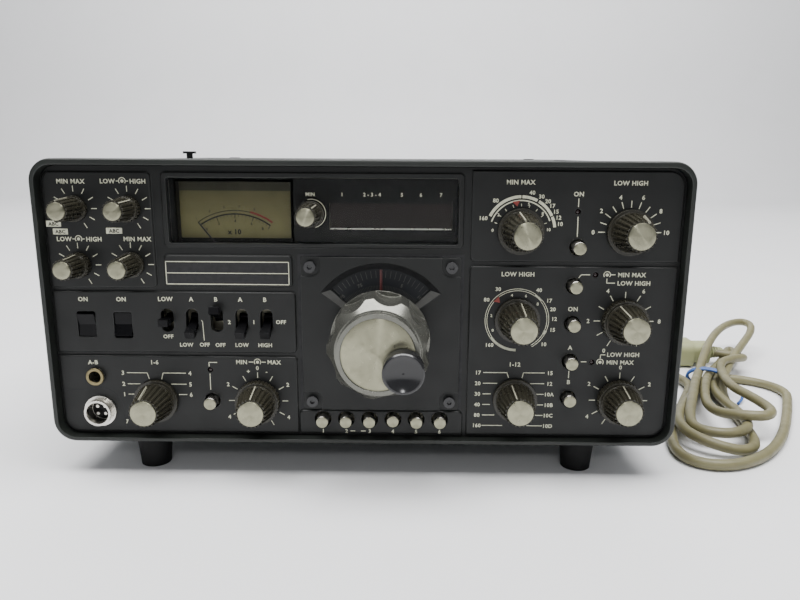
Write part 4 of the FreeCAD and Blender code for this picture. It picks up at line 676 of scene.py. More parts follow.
class Finishes:
    """Every material of the set, made once."""

    def __init__(self, tones):
        # The strong edge lightening of the bezel and panel is mostly a painted highlight on their edges,
        # with some wear.
        self.bezel_plastic = moulding("bezel_plastic", tones.bezel, 0.36, grain_mm=0.9,
                                      depth_mm=0.015, rub=3.5, edge_mm=0.9, gloss=0.3)
        self.panel_plastic = moulding("panel_plastic", tones.panel, 0.38, grain_mm=0.55,
                                      depth_mm=0.015, rub=8.0, edge_mm=0.8, gloss=0.24)
        self.plug_moulding = moulding("plug_moulding", tones.plug, 0.5, grain_mm=0.8,
                                      depth_mm=0.04, rub=1.2, edge_mm=0.8, gloss=0.5)
        self.cover_paint = cover_paint(tones)
        self.knob_plastic = knob_plastic(tones)
        self.dark_anodising = dark_anodising()
        self.spun_metal = spun_metal(tones)
        self.print_cream = ink(tones)
        self.cord_sheath = lead_sheath(tones)
        self.cord_tie = tinted("cord_tie", tones.tie, 0.35, 5.0)
        self.meter_scale = meter_paper(tones)
        self.window_glass = window_glass()
        self.floor_board = floor_board(tones)
        for make, table in ((moulding, MOULDINGS), (plain_metal, METALS), (tinted, TINTS)):
            for name, settings in table.items():
                setattr(self, name, make(name, **settings))


SHARED = {}


def finishes():
    """The materials, made at first use."""
    if "finishes" not in SHARED:
        SHARED["finishes"] = Finishes(bpy.context.scene.transceiver_tones)
    return SHARED["finishes"]


def coat(node, finish, slot=None):
    """Give a node of the frame its finish in every one of its material slots; the slot argument is not used.
    """
    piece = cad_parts[node]
    material = getattr(finishes(), finish)
    slot = slot or finish
    if piece.data.materials:
        piece.data.materials[0] = material
    else:
        piece.data.materials.append(material)
    for face in piece.material_slots:
        face.material = material
    return piece


# ---------------------------------------------------------------- camera and lead


def make_camera():
    """Eye a little to the right of the middle and above the set, looking slightly down."""
    yaw, pitch, roll = (math.radians(angle) for angle in EYE_ANGLES)
    ahead = Vector((math.sin(yaw) * math.cos(pitch), math.cos(yaw) * math.cos(pitch),
                    -math.sin(pitch)))
    level = Vector((math.cos(yaw), -math.sin(yaw), 0.0))
    under = ahead.cross(level)
    right = level * math.cos(roll) + under * math.sin(roll)
    down = under * math.cos(roll) - level * math.sin(roll)
    data = bpy.data.cameras.new("camera")
    data.sensor_width = FILM_WIDTH
    data.lens = LENS
    camera = bpy.data.objects.new("camera", data)
    bpy.context.scene.collection.objects.link(camera)
    camera.matrix_world = (Matrix.Translation(EYE)
                           @ Matrix((right, -down, -ahead)).transposed().to_4x4())
    bpy.context.scene.camera = camera


def hank_point(along, across, height):
    """Point of the tied loops: along runs to the front of the set, across to its right."""
    axis = Vector((-math.cos(HANK_ANGLE), -math.sin(HANK_ANGLE), 0.0))
    side = Vector((math.sin(HANK_ANGLE), -math.cos(HANK_ANGLE), 0.0))
    return TIE + (axis * along + side * across) * MM + Vector((0, 0, height * MM))


def half_turn(reach, start, end, start_bulge, end_bulge, lean, heights, count):
    """Points of one half turn of the loops, without its last one."""
    points = []
    for index in range(count):
        share = index / count
        angle = math.pi * share
        blend = (1 - math.cos(angle)) / 2
        bulge = start_bulge + (end_bulge - start_bulge) * blend
        outward = -1.0 if reach > 0 else 1.0
        across = start + (end - start) * blend
        across += outward * bulge * 2.6 * math.sin(angle) ** 2 * math.cos(angle)
        across += lean * math.sin(angle) ** 2
        position = share * (len(heights) - 1)
        step = int(position)
        height = heights[step] + (heights[step + 1] - heights[step]) * (position - step)
        points.append(hank_point(reach * math.sin(angle), across, height))
    return points


def lead_points(count):
    """Control points of the whole lead, with count of them on each half turn."""
    points = [Vector(point) for point in LEAD_ROUTE]
    for shape in HALF_TURNS:
        points += half_turn(*shape, count)
    return points + [Vector(point) for point in LEAD_END]


def round_cord(name, points, radius, material):
    """A fixed round cord along a smooth curve near its control points."""
    curve = bpy.data.curves.new(name, "CURVE")
    curve.dimensions = "3D"
    curve.bevel_depth = radius
    curve.bevel_resolution = 5
    curve.resolution_u = 8
    curve.use_fill_caps = True
    spline = curve.splines.new("NURBS")
    spline.points.add(len(points) - 1)
    for place, point in zip(spline.points, points):
        place.co = (*point, 1.0)
    spline.order_u = 3
    spline.use_endpoint_u = True
    piece = bpy.data.objects.new(name, curve)
    bpy.context.scene.collection.objects.link(piece)
    curve.materials.append(material)
    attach(piece, "root")
    return piece


def make_lead(sizes):
    """The lead in its tied loops, with its sleeve, plug, collar and tie."""
    looks = finishes()
    points = lead_points(sizes.turn_points)
    lead = round_cord("mains_lead", points, sizes.lead / 2, looks.cord_sheath)
    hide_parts("cord_lead", "cord_hank")
    plug = coat("mains_plug", "plug_moulding")
    collar = plug_collar(looks)
    entry_sleeve(looks)
    make_tie(looks)


def plug_collar(looks):
    """Ribbed sleeve where the lead goes into the plug."""
    profile = [(3.35, 0.0), (4.6, 0.0)]
    for rib in range(5):
        level = 1.2 + rib * 2.4
        crest, groove = 5.6 - rib * 0.32, 4.5 - rib * 0.2
        profile += [(crest, level), (crest, level + 1.3), (groove, level + 1.5), (groove, level + 2.2)]
    profile += [(3.6, 13.6), (3.35, 13.6)]
    place = Matrix.Translation(PLUG_FACE) @ Matrix.Rotation(math.pi / 2, 4, "Y")
    return turned("plug_collar", profile, 24, place, looks.plug_moulding, "root")


def entry_sleeve(looks):
    """Black rubber sleeve with ribs over the tapered relief where the lead leaves the set."""
    profile = [(3.4, 0.0), (8.6, 0.0), (8.6, 1.6), (7.5, 1.9)]
    for rib in range(6):
        level = 3.0 + rib * 3.0
        crest = 7.6 - rib * 0.42
        profile += [(crest, level), (crest, level + 1.7), (crest - 0.5, level + 1.9),
                    (crest - 0.6, level + 2.8)]
    profile += [(4.6, 21.4), (3.4, 21.4)]
    place = (Matrix.Translation(spot(*SLEEVE_SEAT)) @ Matrix.Rotation(math.pi, 4, "Z")
             @ Matrix.Rotation(math.pi / 2, 4, "X"))
    turned("entry_sleeve", profile, 32, place, looks.foot_rubber, "root")


def make_tie(looks):
    """Blue wire twisted round the waist of the loops, with one end left long."""
    turns, steps = 3, 14
    points = []
    for step in range(turns * steps + 1):
        angle = 2 * math.pi * step / steps
        points.append(hank_point(-5.0 + step * 0.15, 14.8 * math.cos(angle),
                                 8.4 + 7.5 * math.sin(angle)))
    loose_end = ((3.0, 16.0, 11.0), (8.0, 24.0, 7.0), (17.0, 27.0, 2.6), (26.0, 24.0, 1.4))
    points += [hank_point(*place) for place in loose_end]
    round_cord("lead_tie", points, 1.05 * MM, looks.cord_tie)


# ---------------------------------------------------------------- cabinet and fixed nodes


CABINET = {
    "bezel_plastic": ("front_bezel",),
    "panel_plastic": ("front_panel", "tuning_panel"),
    "cover_paint": ("top_cover", "bottom_cover"),
    "foot_rubber": ("feet",),
    "black_fastener": ("case_fasteners",),
    "plated_steel": ("chassis", "amplifier_cage"),
    "core_lacquer": ("power_transformer",),
    "board_laminate": ("circuit_boards",),
    "nickel": ("rear_sockets", "panel_sockets"),
    "meter_case": ("meter_housing",),
    "needle_black": ("meter_needle",),
    "fan_plastic": ("fan_rotor",),
    "dial_print": ("tuning_dial",),
}
CONTROLS = {
    "knob_plastic": (*(f"{control}_knob" for control in KNOBS), *RINGS),
    "nickel": (*PUSH_BUTTONS, *(f"memory_button_{n}" for n in range(1, MEMORY_BUTTONS + 1))),
    "switch_black": ("power_rocker", "heater_rocker", *(f"lever_{n}" for n in range(1, 6))),
}


def finish_nodes(table):
    """Coat the nodes that a table lists under each finish."""
    for finish, nodes in table.items():
        for node in nodes:
            coat(node, finish)


def finish_controls():
    """Coat everything that a hand moves."""
    finish_nodes(CONTROLS)
    coat("tuning_knob", "dark_anodising", "knob_plastic")
    coat("tuning_crank", "black_fastener", "knob_plastic")


# ---------------------------------------------------------------- knob caps, discs and pointers


def cap_profile(radius, thickness=0.5):
    """A turned cap: flat face, fine bevel, short side."""
    return [(0, 0), (radius * 0.2, 0), (radius * 0.6, 0), (radius - 0.35, 0), (radius - 0.1, -0.1),
            (radius, -0.35), (radius, -thickness - 0.2)]


def pointer_mesh(style, cap):
    """Light line along the top of a knob's barrel, from its cap back to its skirt."""
    rear, front, skirt = BARREL[style]
    half = 0.24 if style == "small" else 0.32
    ends = ((front + 0.1, -0.9), (rear + 0.1, -(cap + FIELD_DEPTH - skirt) + 1.2))
    corners = [(side, reach, level) for reach, level in ends for side in (-half, half)]
    mesh = bmesh.new()
    below = [mesh.verts.new((a * MM, (b - 1.2) * MM, c * MM)) for a, b, c in corners]
    above = [mesh.verts.new((a * MM, (b + 0.12) * MM, c * MM)) for a, b, c in corners]
    order = (0, 1, 3, 2)
    mesh.faces.new([above[i] for i in order])
    mesh.faces.new([below[i] for i in reversed(order)])
    for i, j in zip(order, order[1:] + order[:1]):
        mesh.faces.new((below[i], below[j], above[j], above[i]))
    return mesh


def knob_caps():
    """Spun cap and pointer of every knob."""
    looks = finishes()
    for control, (x, height, cap, style, angle) in KNOBS.items():
        knob = control + "_knob"
        turned(control + "_cap", cap_profile(CAP_RADIUS[style] + 0.12), 64,
               facing(x, height, cap + 0.12), looks.spun_metal, knob)
        piece_from(pointer_mesh(style, cap), control + "_pointer", facing(x, height, cap, angle),
                   looks.pointer_grey, knob, smooth=False)


def tuning_disc():
    """Spun disc in the face of the tuning knob."""
    profile = [(0, 0), (3, 0), (9, 0), (14, 0), (18.1, 0), (18.4, -0.1), (18.5, -0.3)]
    turned("tuning_disc", profile, 96, facing(*TUNING, TUNING_RIM - FIELD_DEPTH - 0.45),
           finishes().spun_metal, "tuning_knob")


def button_caps():
    """Turned faces of the push buttons; the fourth memory button stands pressed."""
    metal = finishes().spun_metal
    for name, (x, height) in PUSH_BUTTONS.items():
        turned(name + "_cap", cap_profile(3.3, 0.1), 48, facing(x, height, 1.1), metal, name)
    for index in range(1, MEMORY_BUTTONS + 1):
        front = -1.3 if index == PRESSED_BUTTON else 0.3
        place = facing(MEMORY_FIRST + MEMORY_PITCH * (index - 1), MEMORY_HEIGHT, front)
        turned(f"memory_cap_{index}", cap_profile(3.2, 0.1), 48, place, metal,
               f"memory_button_{index}")


# ---------------------------------------------------------------- printing of the panel


def every(step, start, stop):
    """Angles from start to stop."""
    return [start + step * index for index in range(int(round((stop - start) / step)) + 1)]


def print_small_controls(ink_layer):
    """Scales, words and small boxes of the four knobs at the upper left."""
    for control in ("vox_gain", "carrier", "mic_gain", "peak_filter"):
        ink_layer.ticks(KNOBS[control][:2], every(30, -120, 150), 8.8, 11.8, 0.4)
    ink_layer.labels(("MIN MAX", -151.5, 142.3), ("MIN MAX", -118.8, 112.4))
    for x, height, left, right in ((-124.5, 142.5, -128.2, -120.6), (-149.9, 112.2, -153.6, -146.0)):
        ink_layer.labels(("LOW", left, height, "RIGHT"), ("HIGH", right, height, "LEFT"))
        ink_layer.rings_symbol((x, height))
        ink_layer.lines(((x - 3.2, height), (x - 1.9, height)), ((x + 1.9, height), (x + 3.2, height)))
    for left, right, base, top in LABEL_BOXES:
        slab(ink_layer.mesh, rounded(left, right, base, top, 0.2, 2), 0, ink_layer.rise / MM)


def print_nameplate(ink_layer):
    """Frame and middle line of the bare nameplate."""
    left, right, base, top = NAMEPLATE
    ink_layer.path((left, base), (right, base), (right, top), (left, top), (left, base), width=0.45)
    ink_layer.line((left, 94.4), (right, 94.4), 0.4)


def print_switches(ink_layer):
    """Words of the rockers and levers."""
    ink_layer.labels(("ON", -150.6, 79.8), ("ON", -130.0, 79.9), ("LOW", -106.2, 80.2),
                     ("A", -92.2, 80.2), ("B", -79.0, 80.2), ("A", -65.8, 80.2), ("B", -52.6, 80.2))
    ink_layer.labels(("OFF", -105.8, 59.4), ("OFF", -86.2, 54.9), ("OFF", -77.6, 54.8),
                     ("LOW", -96.2, 54.8), ("LOW", -65.9, 54.9), ("HIGH", -53.2, 54.9),
                     ("OFF", -44.2, 67.9), ("2", -72.2, 67.7), ("1", -58.9, 67.8), tall=2.2 * MM)
    ink_layer.path((-87.4, 68.5), (-86.7, 67.9), (-86.3, 57.2), width=0.35)


def print_mode(ink_layer):
    """Positions of the mode switch, three on each side and one below."""
    x, height = KNOBS["mode"][:2]
    for way, texts, far in ((-1, ("3", "2", "1"), -15.6), (1, ("4", "5", "6"), 17.0)):
        top = height + 15.8
        ink_layer.path((x + way * 3.4, height + 12.2), (x + way * 4.4, top), (x + far, top),
                       width=0.4)
        ink_layer.line((x + way * 8.6, height + 9.4), (x + far, height + 9.4), 0.4)
        ink_layer.line((x + way * 12.4, height + 3.4), (x + far, height + 3.4), 0.4)
        for level, text in zip((15.8, 9.4, 3.4), texts):
            ink_layer.words(text, x + far + way * 2.2, height + level)
    ink_layer.labels(("1-6", x, 44.7), ("7", -132.2, 10.0), ("A-B", -148.3, 44.4))


def print_width(ink_layer):
    """Scale of the width control and the line of the button beside it."""
    centre = KNOBS["width"][:2]
    ink_layer.ticks(centre, every(30, -150, 150), 13.2, 16.4, 0.4)
    ink_layer.figures(centre, 19.0, [(0, 0), (-60, 2), (60, 2), (-120, 4), (120, 4)])
    ink_layer.labels(("+", centre[0] - 5.0, centre[1] + 17.0), ("-", centre[0] + 5.0, centre[1] + 17.0),
                     ("MIN", -63.4, 45.2, "RIGHT"), ("MAX", -52.4, 45.2, "LEFT"))
    ink_layer.rings_symbol((-57.8, 45.2))
    ink_layer.lines(((-62.6, 45.2), (-60.0, 45.2)), ((-55.6, 45.2), (-53.2, 45.2)))
    ink_layer.path((-80.0, 44.8), (-84.5, 44.8), (-84.4, 42.4), width=0.4)
    ink_layer.line((-84.2, 38.4), (-84.3, 29.0), 0.4)


def print_plate(ink_layer):
    """Scale of the plate control, with its broken outer band."""
    centre = KNOBS["plate"][:2]
    ink_layer.words("MIN MAX", 82.0, 143.2)
    ink_layer.ticks(centre, every(18, -72, 72), 12.9, 14.3, 0.35)
    ink_layer.figures(centre, 14.6, [(-88, 0), (-54, 2), (15, 5), (50, 8), (86, 10)], 1.6 * MM)
    ink_layer.arc(centre, 16.0, -72, 70, 0.65)
    for start, stop in ((-64, -1), (1, 27), (30, 63), (65, 83)):
        ink_layer.arc(centre, 17.9, start, stop, 1.5)
    marks = [(-71, 160), (-40, 80), (15, 40), (29.5, 30), (41, 20), (50, 17), (60, 15), (69.5, 12),
             (79, 10)]
    ink_layer.figures(centre, 20.8, marks, 2.1 * MM)


def print_loading(ink_layer):
    """Scale of the loading control."""
    centre = KNOBS["loading"][:2]
    ink_layer.words("LOW HIGH", 138.6, 143.0)
    ink_layer.ticks(centre, every(18, -90, 90), 12.8, 16.4)
    ink_layer.figures(centre, 19.0, [(-90, 0), (-54, 2), (-18, 4), (18, 6), (54, 8), (90, 10)])


def print_preselect(ink_layer):
    """Scale of the preselect control between its two arcs."""
    centre = KNOBS["preselect"][:2]
    ink_layer.words("LOW HIGH", 82.5, 95.1)
    ink_layer.arc(centre, 16.1, -180, 150, 0.3)
    ink_layer.arc(centre, 17.1, -180, 150, 0.3)
    ink_layer.arc(centre, 16.7, -180, -125, 1.4)
    ink_layer.arc(centre, 16.6, 34, 50, 1.2)
    ink_layer.arc(centre, 16.6, 110, 118, 1.6)
    ink_layer.figures(centre, 14.0, [(-13, 4), (18, 6), (50, 8), (-80, 2), (-114, 0)], 1.6 * MM)
    marks = [(-134, 160), (-56, 80), (-32, 30), (34, 40), (57, 17), (72, 20), (87.5, 12),
             (105, 15), (131.5, 10)]
    ink_layer.figures(centre, 20.0, marks, 2.1 * MM)


def print_band(ink_layer):
    """Positions of the band switch, six on each side."""
    x, height = KNOBS["band"][:2]
    ink_layer.words("1-12", 82.7, 45.2)
    sides = ((-1, -17.6, ("17", "20", "30", "40", "80", "160"), (4.7, 9.8, 13.2, 13.4, 10.8, 6.2)),
             (1, 15.9, ("15", "12", "10A", "10B", "10C", "10D"),
              (4.3, 8.2, 11.5, 12.4, 11.5, 7.2)))
    for way, far, texts, starts in sides:
        for row, (text, start) in enumerate(zip(texts, starts)):
            level = height + 15.4 - 6.15 * row
            ink_layer.line((x + way * start, level), (x + far, level), 0.4)
            ink_layer.words(text, x + far + way * 2.9, level, 2.2 * MM)
        ink_layer.line((x + way * starts[0], height + 15.4), (x + way * 3.7, height + 12.4), 0.4)


def print_gains(ink_layer):
    """Scales and words of the two double knobs at the lower right."""
    centre = KNOBS["af_gain"][:2]
    ink_layer.ticks(centre, every(30, -150, 150), 12.6, 16.0)
    ink_layer.figures(centre, 19.0, [(-150 + 60 * index, 2 * index) for index in range(5)])
    centre = KNOBS["clarifier"][:2]
    ink_layer.ticks(centre, every(30, -150, 150), 12.6, 16.0)
    ink_layer.figures(centre, 19.0, [(0, 0), (-60, 2), (60, 2), (-120, 4)])
    ink_layer.rings_symbol((129.6, 95.0))
    ink_layer.rings_symbol((129.0, 46.8))
    ink_layer.labels(("MIN MAX", 135.2, 95.1, "LEFT"), ("LOW HIGH", 135.2, 90.6, "LEFT"),
                     ("LOW HIGH", 132.4, 51.2, "LEFT"), ("MIN MAX", 132.4, 46.8, "LEFT"))
    ink_layer.lines(((131.6, 95.1), (134.0, 95.1)), ((118.6, 47.0), (121.6, 47.0)))
    ink_layer.path((129.6, 93.0), (129.6, 90.6), (134.0, 90.6))
    ink_layer.path((114.6, 93.2), (116.0, 95.0), (120.6, 95.0))
    ink_layer.path((129.0, 49.0), (129.0, 51.0), (131.6, 51.0))


def print_button_labels(ink_layer):
    """Words and lines of the push buttons and the numbers of the memory buttons."""
    ink_layer.labels(("ON", 112.2, 137.3), ("ON", 112.6, 76.4), ("A", 112.3, 54.9), ("B", 112.5, 35.4))
    ink_layer.lines(((112.3, 135.0), (112.3, 130.6)), ((112.4, 125.6), (112.6, 115.0)),
                    ((112.4, 41.8), (112.4, 37.6)), ((-7.2, 5.6), (-4.6, 5.6)), ((-1.4, 5.6), (1.2, 5.6)))
    for index, x in enumerate((-22.4, -9.4, 3.5, 16.4, 29.4, 42.4), start=1):
        ink_layer.words(str(index), x, 5.6, 2.2 * MM)


def print_panel(sizes):
    """All the printing on the raised fields of the panel."""
    looks = finishes()
    places = facing(0, 0, -FIELD_DEPTH)
    groups = {
        "print_small_controls": (print_small_controls,),
        "print_nameplate": (print_nameplate,),
        "print_switches": (print_switches,),
        "print_lower_left": (print_mode, print_width),
        "print_output_controls": (print_plate, print_loading),
        "print_right_controls": (print_preselect, print_band, print_gains, print_button_labels),
    }
    for name, parts in groups.items():
        ink_layer = Print(sizes)
        for part in parts:
            part(ink_layer)
        ink_layer.done(name, places, looks.print_cream)
    marks = Print(sizes)
    for control, angle, radius in (("plate", -10, 14.6), ("preselect", -45, 15.0)):
        centre = KNOBS[control][:2]
        inner, left, right = (on_circle(radius - 1.6, angle), on_circle(radius + 1.4, angle - 7),
                              on_circle(radius + 1.4, angle + 7))
        slab(marks.mesh, [(centre[0] + p[0], centre[1] + p[1]) for p in (left, right, inner)],
             0.05, 0.13)
    marks.done("print_red_marks", places, looks.red_ink)
    dark = Print(sizes)
    dark.box(-104.4, -39.5, 88.7, 100.2, high=0.03)
    dark.path((-167.0, 28.4), (-152.0, 28.2), width=0.4)
    dark.arc((-146.2, 16.4), 13.2, -26, 85, 0.4)
    dark.path((-133.0, 15.4), (-132.6, 5.0), width=0.4)
    dark.done("panel_step_line", places, looks.window_mask)
    boxed = Print(sizes)
    for left, right, base, top in LABEL_BOXES:
        boxed.words("ABC", (left + right) / 2, (base + top) / 2, 1.9 * MM, weight=0.05)
    boxed.done("print_box_letters", facing(0, 0, -FIELD_DEPTH + sizes.ink_rise / MM),
               looks.black_ink)


# ---------------------------------------------------------------- meter, window and tuning dial


def make_meter(sizes):
    """Scale plate of the meter with its arcs, divisions and figures."""
    looks = finishes()
    card = facing(0, 0, -METER_FACE_DEPTH + 0.05)
    plate("meter_scale_plate", rounded(-98.2, -38.6, 112.2, 142.2, 0.6), 0.4, card,
          looks.meter_scale)
    plate("meter_mask", rounded(-98.2, -37.8, 91.4, 112.1, 0.6), 0.6, card, looks.meter_case)
    top = facing(0, 0, -METER_FACE_DEPTH + 0.5)
    scale = Print(sizes)
    centre = (-68.9, 92.9)
    radius = 34.1
    scale.arc(centre, radius, -36, 14, 0.4, 3)
    scale.arc(centre, radius - 1.9, -36, 36, 0.75, 3)
    scale.ticks(centre, every(3.6, -36, 36), radius - 3.4, radius - 2.2, 0.2)
    scale.ticks(centre, every(18, -36, 36), radius - 4.2, radius - 2.2, 0.4)
    scale.figures(centre, radius - 5.6, [(-33, 0), (-18, 2), (0, 4), (18, 6), (31, 8)], 1.5 * MM)
    scale.figures(centre, radius + 2.2, [(-35, 1), (-22, 3), (-9, 5), (4, 7), (17, 9)], 1.3 * MM)
    scale.words("x 10", -69.4, 115.6, 2.7 * MM, weight=0.06)
    scale.done("meter_scale_print", top, looks.black_ink, slot="meter_scale")
    # Painted shadow: a dark band across the top of the meter scale.
    shade = Print(sizes)
    shade.box(-98.2, -38.6, 137.4, 142.2, high=0.05)
    shade.done("meter_top_band", top, looks.meter_shade, slot="meter_scale")
    red = Print(sizes)
    red.arc(centre, radius + 0.1, 14, 36, 1.1, 3)
    red.done("meter_scale_red", top, looks.red_ink, slot="meter_scale")


def make_window(sizes):
    """Acrylic plate, the black mask behind it, the readout and the small labels."""
    looks = finishes()
    window = plate("window_plate", rounded(-101.85, 50.35, 110.45, 144.45, 1.4),
                   GLASS_BACK - GLASS_FRONT, facing(0, 0, -GLASS_BACK), looks.window_glass,
                   smooth=False)
    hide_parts("display_window")
    mask = Print(sizes)
    for sides in ((-101.8, -99.3, 110.5, 144.4), (-99.3, -38.0, 143.2, 144.4),
                  (-38.0, 50.3, 131.4, 144.4), (-38.0, -17.5, 110.5, 131.4),
                  (-17.5, 50.3, 110.5, 117.6), (47.3, 50.3, 117.6, 131.4)):
        mask.box(*sides, high=0.3)
    mask.done("window_mask", facing(0, 0, -GLASS_BACK - 0.45), looks.window_mask, slot="meter_case")
    plate("readout_filter", rounded(-17.5, 47.3, 117.6, 131.4, 0.3), 0.5,
          facing(0, 0, -GLASS_BACK - 1.6), looks.readout_filter)
    plate("readout_ledge", rounded(-17.2, 47.0, 117.5, 118.3, 0.2), 0.4,
          facing(0, 0, -GLASS_BACK - 0.9), looks.nickel)
    labels = Print(sizes)
    labels.labels(("MIN", -27.3, 136.2), ("1", -10.6, 136.2), ("2 - 3 - 4", 5.1, 136.2),
                  ("5", 20.7, 136.2), ("6", 30.6, 136.2), ("7", 41.1, 136.2), tall=1.9 * MM)
    labels.arc(KNOBS["dimmer"][:2], 7.5, -15, 165, 0.35)
    labels.done("print_window", facing(0, 0, -GLASS_FRONT), looks.print_cream)


def make_dial(sizes):
    """Scale of the tuning dial and the red cursor over it."""
    looks = finishes()
    scale = Print(sizes)
    scale.ticks((0, 0), every(1.8, -180, 178.2), 24.6, 27.4, 0.16)
    scale.ticks((0, 0), every(4.5, -180, 175.5), 31.5, 35.4, 0.22)
    for index in range(16):
        angle = 22.5 * index
        x, y = on_circle(29.4, angle)
        scale.words(str(5 * index), x, y, 1.9 * MM, turn=angle)
    scale.done("tuning_dial_print", facing(*TUNING, -DIAL_DEPTH), looks.dial_grey,
               "tuning_dial")
    over_dial = facing(*TUNING, -DIAL_DEPTH + 0.25)
    cursor = Print(sizes)
    cursor.box(-0.5, 0.8, 24.2, 35.9, high=0.2)
    cursor.done("dial_cursor", over_dial, looks.cursor_red, slot="lamp_lens")
    hair = Print(sizes)
    hair.box(-0.5, -0.2, 24.2, 35.9, low=0.2, high=0.26)
    hair.done("dial_hairline", over_dial, looks.hair_red, slot="lamp_lens")
    make_dial_surround(looks)
    make_plate_shadow(looks)


def make_dial_surround(looks):
    """Sloping lip round the dial window: dark down its outer arc as painted shade, paler at both of its ends
    as painted reflection.
    """
    count = 24
    edges = []
    for near, far, half in ((24.4, 39.5, 53.8), (24.4, 36.7, 47.2)):
        arc = [(far, -half + 2 * half * index / count) for index in range(count + 1)]
        edges.append([(near, -half), *arc, (near, half)])
    outer, inner = edges
    # one lip in two materials: black arc as painted shade, grey ends as painted reflection
    for name, material, strips in (("dial_lip_arc", looks.window_mask, range(1, count + 1)),
                                   ("dial_lip_left", looks.lip_grey, (0,)),
                                   ("dial_lip_right", looks.lip_grey, (count + 1,))):
        mesh = bmesh.new()
        for strip in strips:
            places = [(outer[strip], 0.75), (outer[strip + 1], 0.75), (inner[strip + 1], 0.05),
                      (inner[strip], 0.05)]
            corners = []
            for (radius, angle), level in places:
                x, y = on_circle(radius, angle)
                corners.append(mesh.verts.new((x * MM, y * MM, level * MM)))
            mesh.faces.new(corners)
        bmesh.ops.solidify(mesh, geom=mesh.faces[:], thickness=0.04 * MM)
        piece_from(mesh, name, facing(*TUNING, -FIELD_DEPTH - 0.8), material, "root",
                   smooth=False)


def make_plate_shadow(looks):
    """Black strips in the gap round the square tuning plate, a painted shadow in that recess."""
    mesh = bmesh.new()
    half = TUNING_PLATE / 2
    for left, right, base, top in ((-half - 1.7, -half - 0.1, -half, half + 1.6),
                                   (half + 0.1, half + 1.7, -half, half + 1.6),
                                   (-half - 0.1, half + 0.1, half + 0.1, half + 1.6)):
        slab(mesh, box(left, right, base, top), 0.0, 0.2)
    # painted shadow: black strips where the recess round the plate lies in shade
    piece_from(mesh, "plate_gasket", facing(*TUNING, -FIELD_DEPTH - 1.45), looks.window_mask,
               "root", smooth=False)


def make_lamps():
    """Red pilot lamps seated in their holes."""
    dome = [(0, 0.9)] + [(1.4 * math.sin(math.radians(a)), 0.9 * math.cos(math.radians(a)))
                         for a in (20, 40, 60, 80)] + [(1.4, -2.2)]
    for index, (x, height) in enumerate(LAMPS, start=1):
        turned(f"pilot_lamp_{index}", dome, 24, facing(x, height, -FIELD_DEPTH - 1.3),
               finishes().lamp_lens, "root")


def make_sockets():
    """Insulator of the microphone socket and bright ring of the headphone jack."""
    looks = finishes()
    turned("mic_insulator", [(0, 0), (2.0, 0), (5.6, 0), (5.95, -0.3), (5.95, -1.2)], 48,
           facing(-146.2, 16.4, -7.6), looks.switch_black, "root")
    ring = [(3.2, -1.0), (3.2, 0.0), (3.5, 0.25), (4.6, 0.25), (4.9, 0.0), (4.9, -1.0)]
    turned("phones_ring", ring, 48, facing(-147.1, 36.5, -2.75), looks.brass_nut, "root")


def make_rear(sizes):
    """Coloured collars and numbers of the phono sockets, in two rows of five."""
    looks = finishes()
    collar = [(4.3, 0.0), (5.9, 0.0), (6.1, 0.3), (6.1, 0.8), (4.3, 0.8)]
    numbers = Print(sizes)
    for index in range(10):
        x, height = -112 + 20 * (index % 5), 118 - 20 * (index // 5)
        turned(f"phono_collar_{index + 1}", collar, 32, facing_back(x, height, 0.05),
               looks.plug_moulding if index % 2 else looks.red_ink, "root")
        numbers.words(str(index + 1), -x, height - 8.6, 2.2 * MM)
    numbers.done("print_rear_numbers", facing_back(0, 0), looks.black_ink, slot="print_cream")


# ---------------------------------------------------------------- stage


def area_light(name, place, aim, size, power):
    """White rectangular light at a place, turned to its aim."""
    data = bpy.data.lights.new(name, "AREA")
    data.shape = "RECTANGLE"
    data.size, data.size_y = size
    data.energy = power
    light = bpy.data.objects.new(name, data)
    bpy.context.scene.collection.objects.link(light)
    light.location = place
    light.rotation_euler = (Vector(aim) - Vector(place)).to_track_quat("-Z", "Y").to_euler()


def make_stage():
    """Pale sweep and soft studio light."""
    looks = finishes()
    foot = SWEEP_WALL - SWEEP_RADIUS
    profile = [(SWEEP_NEAR, 0.0), (foot, 0.0)]
    profile += [(foot + SWEEP_RADIUS * math.sin(math.radians(a)),
                 SWEEP_RADIUS - SWEEP_RADIUS * math.cos(math.radians(a))) for a in range(10, 91, 10)]
    profile.append((SWEEP_WALL, SWEEP_HEIGHT))
    mesh = bmesh.new()
    rows = [[mesh.verts.new((x, y, z)) for x in (-SWEEP_HALF_WIDTH, SWEEP_HALF_WIDTH)]
            for y, z in profile]
    for low, high in zip(rows, rows[1:]):
        mesh.faces.new((low[0], low[1], high[1], high[0]))
    data = bpy.data.meshes.new("sweep")
    mesh.to_mesh(data)
    mesh.free()
    data.shade_smooth()
    data.materials.append(looks.floor_board)
    sweep = bpy.data.objects.new("sweep", data)
    bpy.context.scene.collection.objects.link(sweep)
    for name, settings in LIGHTS.items():
        area_light(name, *settings)
    world = bpy.data.worlds.new("studio")
    world.use_nodes = True
    sky = world.node_tree.nodes["Background"]
    sky.inputs["Color"].default_value = SKY_COLOUR
    sky.inputs["Strength"].default_value = SKY_STRENGTH
    bpy.context.scene.world = world


# ---------------------------------------------------------------- operators and panel


class TRANSCEIVER_OT_camera(bpy.types.Operator):
    """Place the camera in front of the set"""
    bl_idname = "transceiver.camera"
    bl_label = "Camera"

    def execute(self, context):
        make_camera()
        return {"FINISHED"}


class TRANSCEIVER_OT_lead(bpy.types.Operator):
    """Lay the mains lead in its tied loops, with its plug and tie"""
    bl_idname = "transceiver.lead"
    bl_label = "Mains lead"

    def execute(self, context):
        make_lead(context.scene.transceiver_sizes)
        return {"FINISHED"}


class TRANSCEIVER_OT_cabinet(bpy.types.Operator):
    """Finish the cabinet, the chassis and everything fixed to them"""
    bl_idname = "transceiver.cabinet"
    bl_label = "Cabinet finishes"

    def execute(self, context):
        finish_nodes(CABINET)
        return {"FINISHED"}


